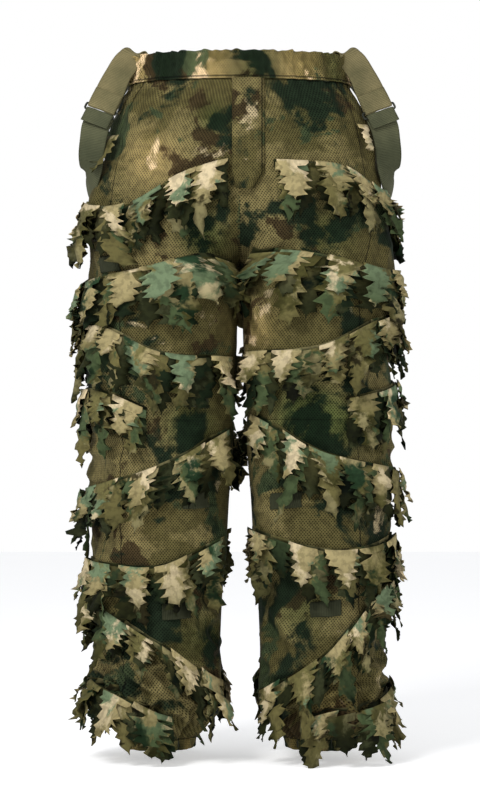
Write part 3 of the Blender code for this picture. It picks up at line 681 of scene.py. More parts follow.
DYE_PATCHES = (  # x, height, radius, and how far the dyes lean to tan (+) or to green and dark (-)
    (-0.130, -0.160, 0.045, 0.42),
    (-0.110, -0.355, 0.045, 0.40),
    (0.020, -0.415, 0.040, 0.40),
    (-0.040, -0.100, 0.030, -0.35),
    (0.105, -0.090, 0.055, -0.18),
    (0.095, -0.545, 0.055, -0.50),
    (-0.060, -0.262, 0.045, -0.22),
    (0.130, -0.270, 0.050, -0.32),
    (-0.050, -0.290, 0.040, -0.25),
    (-0.075, -0.560, 0.050, -0.35),
    (0.165, -0.560, 0.050, -0.30),
    (-0.150, -0.700, 0.060, 0.15),
    (0.090, -0.830, 0.060, -0.30),
    (-0.060, -0.880, 0.055, -0.28),
    (0.140, -0.980, 0.050, 0.25),
)


def dye_tint(points):
    """0.5, plus a bell curve for each patch where the dyes lean one way."""
    tint = np.full(points.shape[:-1], 0.5)
    for x, z, radius, shift in DYE_PATCHES:
        squared = (points[..., 0] - x) ** 2 + (points[..., 2] - z) ** 2
        tint += shift * np.exp(-squared / radius**2)
    return np.clip(tint, 0, 1)


def cloth_tube(name, side, top, bottom, rows, columns=212):
    """A grid right round a leg, from height top to bottom. Its UV is the flat cut, in metres."""
    sign = SIDES[side]
    z, degrees = np.meshgrid(np.linspace(top, bottom, rows), np.linspace(-180, 180, columns), indexing="ij")
    points = cloth_point(sign, degrees, z)
    edge = np.abs(degrees) >= 180 - 1e-6
    points[..., 0] = np.where(edge & (z > CROTCH_Z), -sign * SEAM_LAP, points[..., 0])
    closed = edge & (z <= CROTCH_Z)
    points[:, -1][closed[:, -1]] = points[:, 0][closed[:, 0]]
    smooth = base_surface(sign, degrees, z)
    run = np.cumsum(np.linalg.norm(np.diff(smooth, axis=1, prepend=smooth[:, :1]), axis=-1), axis=1)
    run = run - run[:, columns // 2, None]
    uv = np.stack([run + (0.9 if sign > 0 else 0.1), z + 1.2], axis=-1)
    seam_column = round((SIDE_SEAM_DEGREES / 360 + 0.5) * (columns - 1))
    seam = np.abs(run) - np.abs(run[:, seam_column, None])
    floats = {"tint": dye_tint(points)[None], "seam": seam[None]}
    piece = mesh_from_grids(name, points[None], uv[None], floats, weld=0.00004, wall=0.0011)
    piece.data.materials.append(MESH_CLOTH)
    return turn_outwards(piece, sign * LEG_X)


for side in SIDES:
    upper = cloth_tube(f"{side}_upper_leg_cloth", side, WAIST_Z, THIGH_SPLIT_Z, 130)
    bend_at_hip(upper)
    nodes = [f"{side}_{name}" for name in ("front_hip_panel", "back_hip_panel", "hip_fold")]
    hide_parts(*nodes, f"{side}_front_thigh_panel", f"{side}_back_thigh_panel")
    lower = cloth_tube(f"{side}_lower_leg_cloth", side, THIGH_SPLIT_Z, CUFF_Z, 128)
    bend_at_knee(lower)
    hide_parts(f"{side}_knee_fold", f"{side}_front_shin_panel", f"{side}_back_shin_panel")
    print("cloth tubes:", [(p.name, len(p.data.polygons)) for p in (upper, lower)])

# %% [markdown]
# ## Waistband and cuffs
# Both are casings: a strip folded round an elastic and sewn on along one edge. The elastic pulls the casing into
# gathers, so the casing's wall stands off by the same pleat function that the cloth below it uses. The folded
# edge is rounder and waves a little. The elastics are the frame's own rings, which show inside.


# %% Folded casings
WAIST_RUFFLE, FOLD_LIFT = 0.0046, 0.0016  # how far the gathers stand out, and how far the folded edge waves
DEEPEST_GATHER = -0.45  # the elastic inside stops the gathers here
WAIST_TURN, CUFF_TURN = 560, 260  # points round each casing


def folded_casing(name, section, columns, place, uv_top):
    """Carries a folded section round a ring. section rows are (out, height, ruffle), from one raw edge over the
    fold to the other. place maps angle, out, height and ruffle to points."""
    section = np.asarray(section)
    angle = np.linspace(0, 2 * math.pi, columns)
    grid = np.meshgrid(np.arange(len(section)), angle, indexing="ij")
    row = grid[0].astype(int)
    points = place(grid[1], section[row, 0], section[row, 1], section[row, 2])
    run = np.concatenate([[0], np.cumsum(np.linalg.norm(np.diff(section[:, :2], axis=0), axis=1))])
    uv = np.stack([grid[1] / (2 * math.pi) * 1.25 + uv_top[0], uv_top[1] - run[row]], axis=-1)
    seam = np.abs(section[row, 1] - section[0, 1]) - STITCH_ROW
    floats = {"tint": 0.62 + 0.38 * np.sin(angle * 7 + 2.2)[None, None], "seam": seam[None]}
    piece = mesh_from_grids(name, points[None], uv[None], floats, weld=0.00004, wall=0.0010)
    piece.data.materials.append(MESH_CLOTH)
    return piece


def waist_place(angle, out, height, ruffle):
    """The waist's ellipse, moved out, with the gathers as extra out and the fold's edge waving up and down."""
    hip = through(HIP_STATIONS, np.minimum(height, 0.0))
    depth = np.where(np.sin(angle) < 0, hip[..., 1], hip[..., 2])
    across, deep = np.cos(angle), np.sin(angle)
    away = np.stack([across / hip[..., 0], deep / depth], axis=-1)
    away /= np.linalg.norm(away, axis=-1, keepdims=True)
    crumple = 0.5 * waves(17, 6, 0.012, 0.03, angle * 0.15, height)
    gather = np.maximum(waist_gathers(angle) + crumple, DEEPEST_GATHER)
    out = out + ruffle * WAIST_RUFFLE * gather
    lift = np.where(np.abs(ruffle) > 1.2, FOLD_LIFT * waist_gathers(angle + 0.02, 9), 0.0)
    x, y = hip[..., 0] * across + away[..., 0] * out, depth * deep + away[..., 1] * out
    return np.stack([x, y, height + lift], -1)


outer_wall = [
    (0.0040 - 0.0006 * abs(t), WAIST_Z + 0.0385 * t, 0.55 + 0.3 * math.sin(3.1 * t))
    for t in np.linspace(0, 1, 13)
]
waist_fold = [(0.0030, 0.0012, 1.3), (0.0008, 0.0026, 1.3), (-0.0022, 0.0026, 1.3), (-0.0042, 0.0008, 1.3)]
inner_wall = [(-0.0050, -0.0020 - 0.0370 * t, -0.25) for t in np.linspace(0, 1, 7)]
waist_section = outer_wall + waist_fold + inner_wall
waistband = folded_casing("gathered_waistband", waist_section, WAIST_TURN, waist_place, (0.3, 0.06))
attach(waistband, "garment")
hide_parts("waistband_casing")

# %% The cuffs
CUFF_X, CUFF_HALF_WIDTH, CUFF_HALF_DEPTH = 0.125, 0.0508, 0.0550


def cuff_place(sign, angle, out, height, ruffle):
    """An ellipse round the ankle, moved out by the same pleats that the cloth above it has."""
    degrees = np.degrees(angle)
    degrees = np.where(degrees > 180, degrees - 360, degrees)
    pleat = fold_depth(sign, degrees, np.full_like(degrees, CUFF_Z))
    crumple = 0.0012 * np.abs(ruffle) * waves(31, 6, 0.012, 0.03, angle * 0.055, height)
    out = out + pleat * ruffle + crumple
    x = CUFF_X + (CUFF_HALF_WIDTH + out) * np.cos(angle)
    return np.stack([sign * x, -(CUFF_HALF_DEPTH + out) * np.sin(angle), height], axis=-1)


for side, sign in SIDES.items():
    wall = [(0.0046 - 0.0016 * t, CUFF_Z + 0.0010 - 0.0185 * t, 1.0 - 0.35 * t) for t in np.linspace(0, 1, 8)]
    hem = [(0.0018, -1.0536, 0.6), (-0.0004, -1.0542, 0.6), (-0.0030, -1.0534, 0.5)]
    lining = [(-0.0046, -1.0505 + 0.0160 * t, 0.0) for t in np.linspace(0, 1, 4)]
    place = partial(cuff_place, sign)
    uv_top = (0.2 + 0.3 * sign, 0.9)
    cuff = folded_casing(f"{side}_gathered_cuff", wall + hem + lining, CUFF_TURN, place, uv_top)
    turn_outwards(cuff, 0.0)
    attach(cuff, f"{side}_shin")
    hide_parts(f"{side}_cuff_casing")
print("casings: one waistband and two cuffs")

# %% [markdown]
# ## Fly placket
# A flap of the same mesh covers the zip. It is free along its left edge and sewn along its right, and its lower
# end runs in to the centre seam. It stands clear of the zip in the middle, and the free edge rolls a little.

# %% The placket
FLY_MIDDLE_X, FLY_WIDTH, FLY_TOP_Z, FLY_BOTTOM_Z = 0.0125, 0.049, -0.0405, -0.207
ZIP_TOP_Z, ZIP_TOP_Y, ZIP_SLOPE = -0.044, -0.1227, -0.1242  # the zip's straight line behind the placket
OFF_CLOTH, OFF_ZIP, FLY_LENGTH = 0.0024, 0.0078, 0.165
down, across = np.meshgrid(np.linspace(0, 1, 60), np.linspace(0, 1, 21), indexing="ij")
fly_z = FLY_TOP_Z + (FLY_BOTTOM_Z - FLY_TOP_Z) * down
narrow = 0.45 * np.maximum(0.0, down - 0.86) / 0.14
fly_x = FLY_MIDDLE_X + (across - 0.5) * FLY_WIDTH
fly_x = fly_x + (FLY_MIDDLE_X - FLY_WIDTH * 0.2 - fly_x) * narrow
hip = through(HIP_STATIONS, fly_z)
cloth_y = -hip[..., 1] * np.sqrt(1 - (fly_x / hip[..., 0]) ** 2) - OFF_CLOTH
zip_line_y = ZIP_TOP_Y + ZIP_SLOPE * (ZIP_TOP_Z - fly_z)
raised = np.minimum(1.0, 1.5 * np.sin(math.pi * across)) * (1 - 0.5 * smoothstep(0.9, 1.0, down))
roll = 0.0022 * np.exp(-((across / 0.10) ** 2)) * (1 + 0.5 * np.sin(down * 17))
ripple = 0.0009 * waves(77, 8, 0.02, 0.07, across * FLY_WIDTH, fly_z)
fly_y = cloth_y + (zip_line_y - OFF_ZIP - cloth_y) * raised - roll - np.abs(ripple) * raised
fly_points = np.stack([fly_x, fly_y, fly_z], axis=-1)
fly_uv = np.stack([across * FLY_WIDTH + 2.0, -down * FLY_LENGTH + 0.4], axis=-1)
fly_floats = {"tint": dye_tint(fly_points)[None], "seam": ((1 - across) * FLY_WIDTH - 0.004)[None]}
placket = mesh_from_grids("fly_flap", fly_points[None], fly_uv[None], fly_floats, wall=0.0012)
placket.data.materials.append(MESH_CLOTH)
turn_outwards(placket, 0.0)
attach(placket, "garment")
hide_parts("fly_placket")
print("placket from z", FLY_TOP_Z, "to", FLY_BOTTOM_Z)

# %% [markdown]
# ## Leaf strips
# Each strip is a tape of cloth sewn to the leg, from which three layers of die-cut leaves hang. The leaves are oak
# shaped, with pointed lobes that droop and curl. One leaf is a grid 4 points wide and 17 long. Its outline is one
# table of half widths, like a cutting die, and every leaf takes its own random cup, twist, sway and curl. All the
# leaves of a strip are worked out as one array. Real leaves could be cut from an image, but a modelled outline
# casts true shadows and keeps its edge from close by. A leaf is cut flat, so it mustn't grow as it hangs away
# from the leg: its width is divided by how much wider the leg's outline gets at that distance.

# %% The lines that the strips are sewn along, in metres below the waist's top edge
SEWN_AT = np.array([0.0, 45, 90, 135, 180, 225, 270, 315])  # degrees: side, front, inner leg, back
STRIPS = {
    "right": (
        (-0.221, -0.230, -0.224, -0.183, -0.162, -0.178, -0.205, -0.236),
        (-0.345, -0.336, -0.324, -0.302, -0.315, -0.318, -0.296, -0.322),
        (-0.410, -0.411, -0.449, -0.455, -0.455, -0.446, -0.405, -0.392),
        (-0.504, -0.509, -0.540, -0.560, -0.560, -0.545, -0.516, -0.496),
        (-0.657, -0.645, -0.618, -0.575, -0.555, -0.590, -0.634, -0.660),
        (-0.762, -0.767, -0.770, -0.737, -0.717, -0.728, -0.752, -0.770),
        (-0.818, -0.840, -0.882, -0.935, -0.950, -0.925, -0.862, -0.838),
        (-0.945, -0.958, -0.985, -1.000, -1.010, -0.995, -0.975, -0.950),
    ),
    "left": (
        (-0.206, -0.203, -0.171, -0.165, -0.165, -0.172, -0.210, -0.228),
        (-0.325, -0.325, -0.308, -0.294, -0.290, -0.300, -0.318, -0.330),
        (-0.390, -0.402, -0.440, -0.447, -0.447, -0.430, -0.412, -0.396),
        (-0.492, -0.510, -0.525, -0.545, -0.560, -0.545, -0.505, -0.488),
        (-0.627, -0.617, -0.597, -0.552, -0.537, -0.575, -0.628, -0.642),
        (-0.725, -0.741, -0.744, -0.722, -0.710, -0.732, -0.760, -0.745),
        (-0.792, -0.822, -0.905, -0.950, -0.960, -0.930, -0.868, -0.815),
        (-0.955, -0.975, -0.985, -1.000, -1.010, -0.990, -0.962, -0.940),
    ),
}
STRIP_REACH = {  # how many degrees each strip runs over the front and over the back
    "right": ((171, 171), (166, 166), (150, 160), (80, 160), (150, 160), (150, 160), (150, 160), (105, 125)),
    "left": ((153, 171), (166, 166), (150, 160), (70, 160), (150, 160), (150, 160), (150, 160), (110, 125)),
}
# One cutting die: half widths from the sewn top to the tip, as shares of the leaf's width. Large ones are lobes.
LEAF_DIE = np.array(
    [0.50, 0.50, 0.49, 0.58, 0.37, 0.41, 0.53, 0.27, 0.33, 0.45, 0.22, 0.27, 0.35, 0.14, 0.20, 0.07, 0.0]
)
LEAF_COLUMNS = 4
NARROWEST_OFF = 0.0022  # no leaf lies closer to the cloth than this
FULL_WIDTH = 0.044  # a leaf narrower than this curls less, in proportion
LOWEST_RADIUS_Z = -0.990  # below this height the leaves hang straight down, past the tapered ankle
LOW_LEAF_Z = -1.046  # below this leaf tips are pressed shorter, because they touch the ground
PRESSED = 0.022  # and this is the most that they reach below it
# A layer's tone is painted light and shade: the tape and back leaves are painted dark, partly as darker print and
# partly as painted shade, and the front leaves are painted fully lit.
Layer = namedtuple("Layer", "spacing loose width length start stand lean curl tone die")
TAPE = Layer(0.036, 0.00, 0.000, 0.007, -0.0012, 0.0030, 0.10, 0.000, 0.30, False)
LEAF_LAYERS = (
    TAPE,
    Layer(0.033, 0.20, 0.049, 0.076, 0.003, 0.0045, 0.05, 0.014, 0.18, True),
    Layer(0.057, 0.18, 0.042, 0.090, 0.004, 0.0075, 0.08, 0.012, 0.62, True),
    Layer(0.055, 0.20, 0.049, 0.054, 0.000, 0.0100, 0.18, 0.010, 1.00, True),
)
SHORTER = {7: 0.92, 8: 0.85}  # the leaves of the lowest strips, as shares of the others' length


def sewn_height(heights, degrees):
    """The strip's sewn line: a cubic through eight heights round the leg, with neighbours' slopes."""
    ring = np.concatenate([heights, heights, heights])
    at = np.concatenate([SEWN_AT - 360, SEWN_AT, SEWN_AT + 360])
    table = np.stack([at, ring], axis=-1)
    return through(table, np.asarray(degrees, float))[..., 0]


def spread(sign, degrees, z, off):
    """How many times wider a level line is at a distance off than on the smooth surface: the length between two
    points off it, 2 degrees each way, over the length between the points below them."""
    near, far = (base_surface(sign, degrees + turn, z) for turn in (-2, 2))
    out_near, out_far = (outward(sign, degrees + turn, z) for turn in (-2, 2))
    off = np.asarray(off)[..., None]
    lifted = np.linalg.norm((far + out_far * off) - (near + out_near * off), axis=-1)
    return np.clip(lifted / np.linalg.norm(far - near, axis=-1), 1.0, 2.5)


def highest_fold(sign, degrees, z):
    """The deepest fold across each row of a leaf, or above that row if one there is deeper."""
    return np.maximum.accumulate(fold_depth(sign, degrees, z).max(axis=-1, keepdims=True), axis=1)


def leaf_outlines(rng, count):
    """Half widths of count leaves at each grid point, and how far their lobes droop as 0.16 (w - 0.35) side^2.
    Each edge is the die with its lobes rolled round by up to two points and made up to 22 percent wider."""
    t = np.linspace(0, 1, len(LEAF_DIE))[None, :, None]
    side = np.linspace(-1, 1, LEAF_COLUMNS)[None, None, :]
    rolls = rng.integers(0, 3, (count, 2))
    lobes = [[np.roll(LEAF_DIE[3:15], roll) for roll in pair] for pair in rolls]
    shapes = np.tile(LEAF_DIE, (count, 2, 1))
    shapes[:, :, 3:15] = lobes
    shapes = shapes * rng.uniform(0.78, 1.22, shapes.shape)
    shapes[:, :, :2] = 0.52
    shapes[:, :, -1] = 0.0
    half = np.where(side < 0, shapes[:, 0, :, None], shapes[:, 1, :, None])
    droop = (half - 0.35) * 0.16 * np.abs(side) ** 2
    return half, droop * smoothstep(0.05, 0.2, t)


def leaf_layer(rng, sign, heights, run, degrees_at, middles, layer):
    """One layer of leaves as an array of grids. Along the strip a point sits at middle + s, and below it at
    b = start + t length. It stands off the folded cloth by stand + lean b + curl t^2, plus cup and twist. A leaf
    bridges the folds under it and hangs straight down from the highest one above each row. The flat cut's own
    points are s and b."""
    count, rows, die = len(middles), len(LEAF_DIE), layer.die
    each = (count, 1, 1)
    t = np.linspace(0, 1, rows)[None, :, None]
    side = np.linspace(-1, 1, LEAF_COLUMNS)[None, None, :]
    half, droop = leaf_outlines(rng, count) if die else (np.full((count, rows, 1), 0.52), 0.0)
    wide = rng.normal(1, 0.10 if die else 0, each) * layer.width
    long = np.clip(rng.normal(1, 0.14 if die else 0, each), 0.72, 1.3) * layer.length
    s = side * half * wide
    b = layer.start + (t + droop) * long
    sway = rng.normal(0, 0.16 if die else 0, each)
    bow = rng.normal(0, 0.10 if die else 0, each)
    spine = middles[:, None, None] + sway * (b - layer.start) + bow * t**2 * long
    own = np.interp(middles[:, None, None] + s * (1 - 0.5 * t), run, degrees_at)
    z = sewn_height(heights, own) - b
    z = np.where(z < LOW_LEAF_Z, LOW_LEAF_Z - PRESSED * np.tanh((LOW_LEAF_Z - z) / PRESSED), z)

    cup = rng.normal(0.0, 0.0035, each) - 0.0015
    twist = rng.normal(0, 0.35, each)
    tip_curl = rng.uniform(-0.3, 1.0, each) * layer.curl
    flutter = np.sin(t * rng.uniform(6, 11, each) + rng.uniform(0, 6.3, each) + 2 * side)
    lobe_curl = rng.normal(0.0, 0.0035, (count, rows, LEAF_COLUMNS)) * side**2 * smoothstep(0.1, 0.4, t)
    open_up = smoothstep(0.0, 0.25, t) if die else 0.0
    off = layer.stand + layer.lean * (b - layer.start) + tip_curl * t**2
    small = np.clip(wide / FULL_WIDTH, 0, 1)
    off = off + open_up * small * (cup * (side**2 - 0.5) + twist * s * t + 0.0022 * flutter + lobe_curl)
    off = np.maximum(off, NARROWEST_OFF)

    s, spine, z, off = np.broadcast_arrays(s, spine, z, off)
    held_z = np.maximum(z, LOWEST_RADIUS_Z)
    spot = spine + s
    if die:
        lift = off + np.maximum(highest_fold(sign, np.interp(spot, run, degrees_at), held_z), 0)
        spot = spine + s / spread(sign, np.interp(spine, run, degrees_at), held_z, lift)
    degrees = np.interp(spot, run, degrees_at)
    if die:
        off = off + highest_fold(sign, degrees, held_z) - fold_depth(sign, degrees, held_z)
    points = cloth_point(sign, degrees, held_z, off)
    points[..., 2] += z - held_z

    bits = rng.uniform(0, 3, (*each, 2))
    uv = np.stack([spine + s, z], axis=-1) + (bits if die else 0.0)
    flat = np.broadcast_to(np.stack(np.broadcast_arrays(s, b), axis=-1), z.shape + (2,))
    # Painted light and shade: the layer's tone, varied leaf by leaf, and darker towards each tip.
    painted_light_levels = np.clip(layer.tone + rng.normal(0, 0.12, each) - 0.30 * t, 0, 1)
    edges = np.abs(side) ** 3 * np.ones_like(z) if die else np.zeros_like(z)
    return points, uv, np.broadcast_to(painted_light_levels, z.shape), edges, flat


def sewn_run(sign, heights, degrees_at):
    """How far along the sewn line each angle is, in metres."""
    sewn = sewn_height(heights, degrees_at)
    line = base_surface(sign, degrees_at, np.maximum(sewn, LOWEST_RADIUS_Z))
    line[:, 2] = sewn
    return np.concatenate([[0], np.cumsum(np.linalg.norm(np.diff(line, axis=0), axis=1))])


def leaf_piece(name, layers, centre_x):
    """One piece from arrays of leaves, turned outwards and given the leaf cloth."""
    points, uv, tone, edge, flat = (np.concatenate(part) for part in zip(*layers))
    piece = mesh_from_grids(name, points, uv, {"tone": tone, "edge": edge}, wall=0.0005)
    turn_outwards(piece, centre_x)
    piece.data.materials.append(LEAF_CLOTH)
    return piece


def leaf_strip(side, number, heights, reach):
    """A strip: its sewn tape, then dark leaves behind in painted shade, longer khaki ones, and short lit ones in
    front.
    """
    sign = SIDES[side]
    rng = np.random.default_rng(1000 + 50 * number + (7 if sign > 0 else 0))
    front, back = reach
    degrees_at = np.linspace(-back, front, 400)
    run = sewn_run(sign, heights, degrees_at)
    length = run[-1]
    layers = []
    for layer in LEAF_LAYERS:
        count = int(round(length / layer.spacing))
        middles = (np.arange(count) + 0.5 + rng.uniform(-layer.loose, layer.loose, count)) * length / count
        layer = layer._replace(length=layer.length * SHORTER.get(number, 1.0))
        if not layer.die:
            layer = layer._replace(width=length / count)
        layers.append(leaf_layer(rng, sign, heights, run, degrees_at, middles, layer))
    piece = leaf_piece(f"{side}_leaf_layers_{number}", layers, sign * LEG_X)
    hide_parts(f"{side}_leaf_strip_{number}")
    if number <= 2:
        bend_at_hip(piece)
    elif number == 3:
        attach(piece, f"{side}_thigh")
    elif number <= 5:
        bend_at_knee(piece)
    else:
        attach(piece, f"{side}_shin")


def spare_leaves(side, leaves):
    """Single leaves sewn on above the first strip. Each row is degrees, height, width, length, tone."""
    sign = SIDES[side]
    rng = np.random.default_rng(77 if sign > 0 else 78)
    degrees_at = np.linspace(-90, 90, 200)
    made = []
    for degrees, height, width, length, tone in leaves:
        heights = np.full(8, height)
        run = sewn_run(sign, heights, degrees_at)
        middle = np.interp([degrees], degrees_at, run)
        layer = Layer(0.0, 0.0, width, length, 0.0, 0.006, 0.22, 0.004, tone, True)
        made.append(leaf_layer(rng, sign, heights, run, degrees_at, middle, layer))
    piece = leaf_piece(f"{side}_spare_leaves", made, 0.0)
    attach(piece, "garment")


# The last number of each row is the leaf's painted light and shade.
SPARE_LEAVES = {
    "right": ((38, -0.122, 0.042, 0.066, 0.75), (-40, -0.110, 0.040, 0.060, 0.5)),
    "left": (
        (52, -0.108, 0.026, 0.050, 0.95),
        (20, -0.085, 0.034, 0.044, 0.35),
        (-40, -0.100, 0.040, 0.060, 0.6),
    ),
}
for side, leaves in SPARE_LEAVES.items():
    spare_leaves(side, leaves)

for side in SIDES:
    for number, (heights, reach) in enumerate(zip(STRIPS[side], STRIP_REACH[side]), start=1):
        leaf_strip(side, number, heights, reach)

# %% [markdown]
# ## Webbing loops
# Short loops of webbing are bar-tacked at both ends and hold real twigs. Each is one grid along the leg with its
# middle bowed off the cloth, thick enough to show its edge.

# %% The loops
LOOPS = {  # degrees round the leg, height, tilt in degrees
    "right": ((50, -0.318, 2), (118, -0.5205, -5), (122, -0.672, 3), (108, -0.838, 1)),
    "left": ((48, -0.4655, 8), (40, -0.570, 6), (118, -0.672, -4), (88, -0.835, -6)),
}
LOOP_LENGTH, LOOP_WIDTH, LOOP_BOW, LOOP_OFF = 0.046, 0.024, 0.0036, 0.0024


def webbing_loop(side, number, degrees, height, tilt):
    """The bow is a sine that is flat at the tacks. The tacks are two short bars, as ridges across each end."""
    sign = SIDES[side]
    rows, columns = np.meshgrid(np.linspace(0, 1, 11), np.linspace(0, 1, 41), indexing="ij")
    s = (columns - 0.5) * LOOP_LENGTH
    leg = through(LEG_STATIONS, height)[1]
    z = height + (0.5 - rows) * LOOP_WIDTH + math.tan(math.radians(tilt)) * s
    bow = LOOP_BOW * np.sin(math.pi * np.clip((columns - 0.1) / 0.8, 0, 1)) ** 0.8
    tack = 0.0007 * (bell(columns, 0.06, 0.02) + bell(columns, 0.94, 0.02))
    rim = -0.0005 * np.abs(2 * rows - 1) ** 8
    points = cloth_point(sign, degrees + np.degrees(s / leg), z, LOOP_OFF + bow + tack + rim)
    uv = np.stack([rows * LOOP_WIDTH + number, s + 1.0], axis=-1)
    piece = mesh_from_grids(f"{side}_twig_loop_{number}", points[None], uv[None], wall=0.0016)
    turn_outwards(piece, sign * LEG_X)
    piece.data.materials.append(DARK_TAPE)
    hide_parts(f"{side}_foliage_loop_{number}")
    return piece


for side in SIDES:
    for number, (degrees, height, tilt) in enumerate(LOOPS[side], start=1):
        loop = webbing_loop(side, number, degrees, height, tilt)
        if number == 1:
            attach(loop, f"{side}_thigh")
        elif number == 4:
            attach(loop, f"{side}_shin")
        else:
            bend_at_knee(loop)
print("loops:", sum(len(rows) for rows in LOOPS.values()))

# %% [markdown]
# ## Braces
# At each hip a wide webbing is sewn inside the waistband, comes over its edge, hangs outside and turns through a
# rectangular ring. A wide elastic hangs from the ring and loops back up to the rear of the waist. Each is a
# ribbon: a path with a direction across it at every point, smoothed with the same cubic.

# %% Ribbons
BRACE_WIDTH, STRAP_WALL, BAND_WALL = 0.046, 0.0017, 0.0018
FRONT_Y, REAR_Y = -0.022, 0.052  # where the front webbing and the rear tab cross the waist's edge
TAB_SECTION = (  # out from the waist's edge, and height
    (-0.0125, -0.0300),
    (-0.0122, -0.0160),
    (-0.0105, -0.0030),
    (-0.0050, 0.0058),
    (0.0030, 0.0070),
    (0.0095, -0.0005),
)
RING_WIDE = (0.87, 0.33, 0.36)  # along the ring's long bars
WEBBING_PATH = (
    ((0.1850, -0.0330, -0.0260), (0.78, 0.48, 0.38)),
    ((0.1970, -0.0390, -0.0520), RING_WIDE),
    ((0.2068, -0.0424, -0.0752), RING_WIDE),
)
ELASTIC_PATH = (
    ((0.2150, -0.0446, -0.0912), RING_WIDE),
    ((0.2205, -0.0440, -0.1120), (0.87, 0.38, 0.27)),
    ((0.2250, -0.0410, -0.1400), (0.84, 0.48, 0.18)),
    ((0.2270, -0.0350, -0.1650), (0.74, 0.50, 0.38)),
    ((0.2290, -0.0220, -0.1840), (0.50, 0.45, 0.74)),
    ((0.2320, -0.0010, -0.1900), (0.20, 0.05, 0.98)),
    ((0.2340, 0.0210, -0.1850), (0.00, -0.35, 0.93)),
    ((0.2330, 0.0400, -0.1660), (-0.20, -0.80, 0.55)),
    ((0.2190, 0.0540, -0.1250), (-0.40, -0.90, 0.15)),
    ((0.1960, 0.0620, -0.0750), (-0.10, -0.98, 0.00)),
    ((0.1720, 0.0620, -0.0280), (0.25, -0.95, 0.00)),
    ((0.1560, 0.0590, -0.0090), (0.50, -0.86, 0.00)),
)


def waist_anchor(anchor_y):
    """A point of the waist's top edge, with the directions along the edge and straight out from it."""
    hip = through(HIP_STATIONS, 0.0)
    depth = hip[1] if anchor_y < 0 else hip[2]
    lean = math.asin(anchor_y / depth)
    along = np.array([-hip[0] * math.sin(lean), depth * math.cos(lean), 0.0])
    along /= np.linalg.norm(along)
    return np.array([hip[0] * math.cos(lean), anchor_y, 0.0]), along, np.array([along[1], -along[0], 0.0])


def tab_path(anchor_y, turned=(0.0, 0.0, 0.0)):
    """The tab's path over the waist's edge. Its across direction leans to turned, more with each point."""
    middle, along, away = waist_anchor(anchor_y)
    leans = np.linspace(-0.6, 1.0, len(TAB_SECTION)).clip(0, 1)
    return [
        (tuple(middle + away * out + np.array([0, 0, z])), tuple(along + np.array(turned) * lean))
        for (out, z), lean in zip(TAB_SECTION, leans)
    ]


def ribbon(name, side, path, wall, material, seed, columns=13, per_span=14):
    """A flat tape carried along a smoothed path: at s across it, with half width h, it lies at middle + s across -
    0.4 mm (s/h)^10, so its edges are thinner, plus waves of 0.4 mm."""
    places = np.array([p for p, _ in path])
    across = np.array([a / np.linalg.norm(a) for _, a in path])
    knots = np.concatenate([[0], np.cumsum(np.linalg.norm(np.diff(places, axis=0), axis=1))])
    spans = len(path) - 1
    fine = np.interp(np.linspace(0, spans, per_span * spans + 1), np.arange(len(path)), knots)
    line = through(np.column_stack([knots, places]), fine)
    wide = through(np.column_stack([knots, across]), fine)
    ahead = np.gradient(line, axis=0)
    ahead /= np.linalg.norm(ahead, axis=1, keepdims=True)
    wide -= ahead * (wide * ahead).sum(axis=1, keepdims=True)
    wide /= np.linalg.norm(wide, axis=1, keepdims=True)
    normal = np.cross(wide, ahead)
    s = np.linspace(-0.5, 0.5, columns)[None, :] * BRACE_WIDTH
    run, s = np.broadcast_arrays(fine[:, None], s)
    lift = 0.0004 * waves(seed + 40, 5, 0.02, 0.06, s, run) - 0.0004 * np.abs(2 * s / BRACE_WIDTH) ** 10
    points = line[:, None] + wide[:, None] * s[..., None] + normal[:, None] * lift[..., None]
    points[..., 0] *= SIDES[side]
    piece = mesh_from_grids(name, points[None], np.stack([s + seed, run], axis=-1)[None], wall=wall)
    piece.modifiers["wall"].offset = 0.0
    piece.data.materials.append(material)
    return piece


RING_MIDDLE = np.array([0.2108, -0.0436, -0.0828])
RING_WIRE, RING_CORNER = 0.0034, 0.0026
RING_HALF_LONG, RING_HALF_SHORT = BRACE_WIDTH / 2 + 0.0042, 0.0046
TAPE_CLEARANCE = 0.0013  # from the wire to the middle of the tape round it
BAR_AWAY = 0.0042  # from the ring's middle to the bars' middles, where the tapes turn round them


def ring_frame():
    """The ring's own directions: across the webbing, and down along it."""
    wide = np.array(RING_WIDE)
    wide /= np.linalg.norm(wide)
    run = np.array(ELASTIC_PATH[0][0]) - np.array(WEBBING_PATH[-1][0])
    fall = run - wide * run.dot(wide)
    fall /= np.linalg.norm(fall)
    outwards = np.cross(wide, fall)
    return wide, fall, outwards if outwards[0] > 0 else -outwards


def wrap_end(centre, fall, outwards, toward, back, reach):
    """A tape end that turns round a bar and comes back on the outer side: half a circle, then straight."""
    radius = RING_WIRE / 2 + TAPE_CLEARANCE
    turn = np.linspace(-0.35, 1.0, 7) * math.pi / 2
    arc = [centre + radius * (toward * fall * math.cos(a) + outwards * math.sin(a)) for a in turn]
    tail = [arc[-1] - toward * fall * reach * share + outwards * 0.0004 for share in (0.3, 0.65, 1.0)]
    return [(tuple(p), tuple(back)) for p in arc + tail]


def bend_over_waist(piece, anchor_y):
    """Bakes the tape's placement into its points."""
    anchor, _, away = waist_anchor(anchor_y)
    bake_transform(piece)


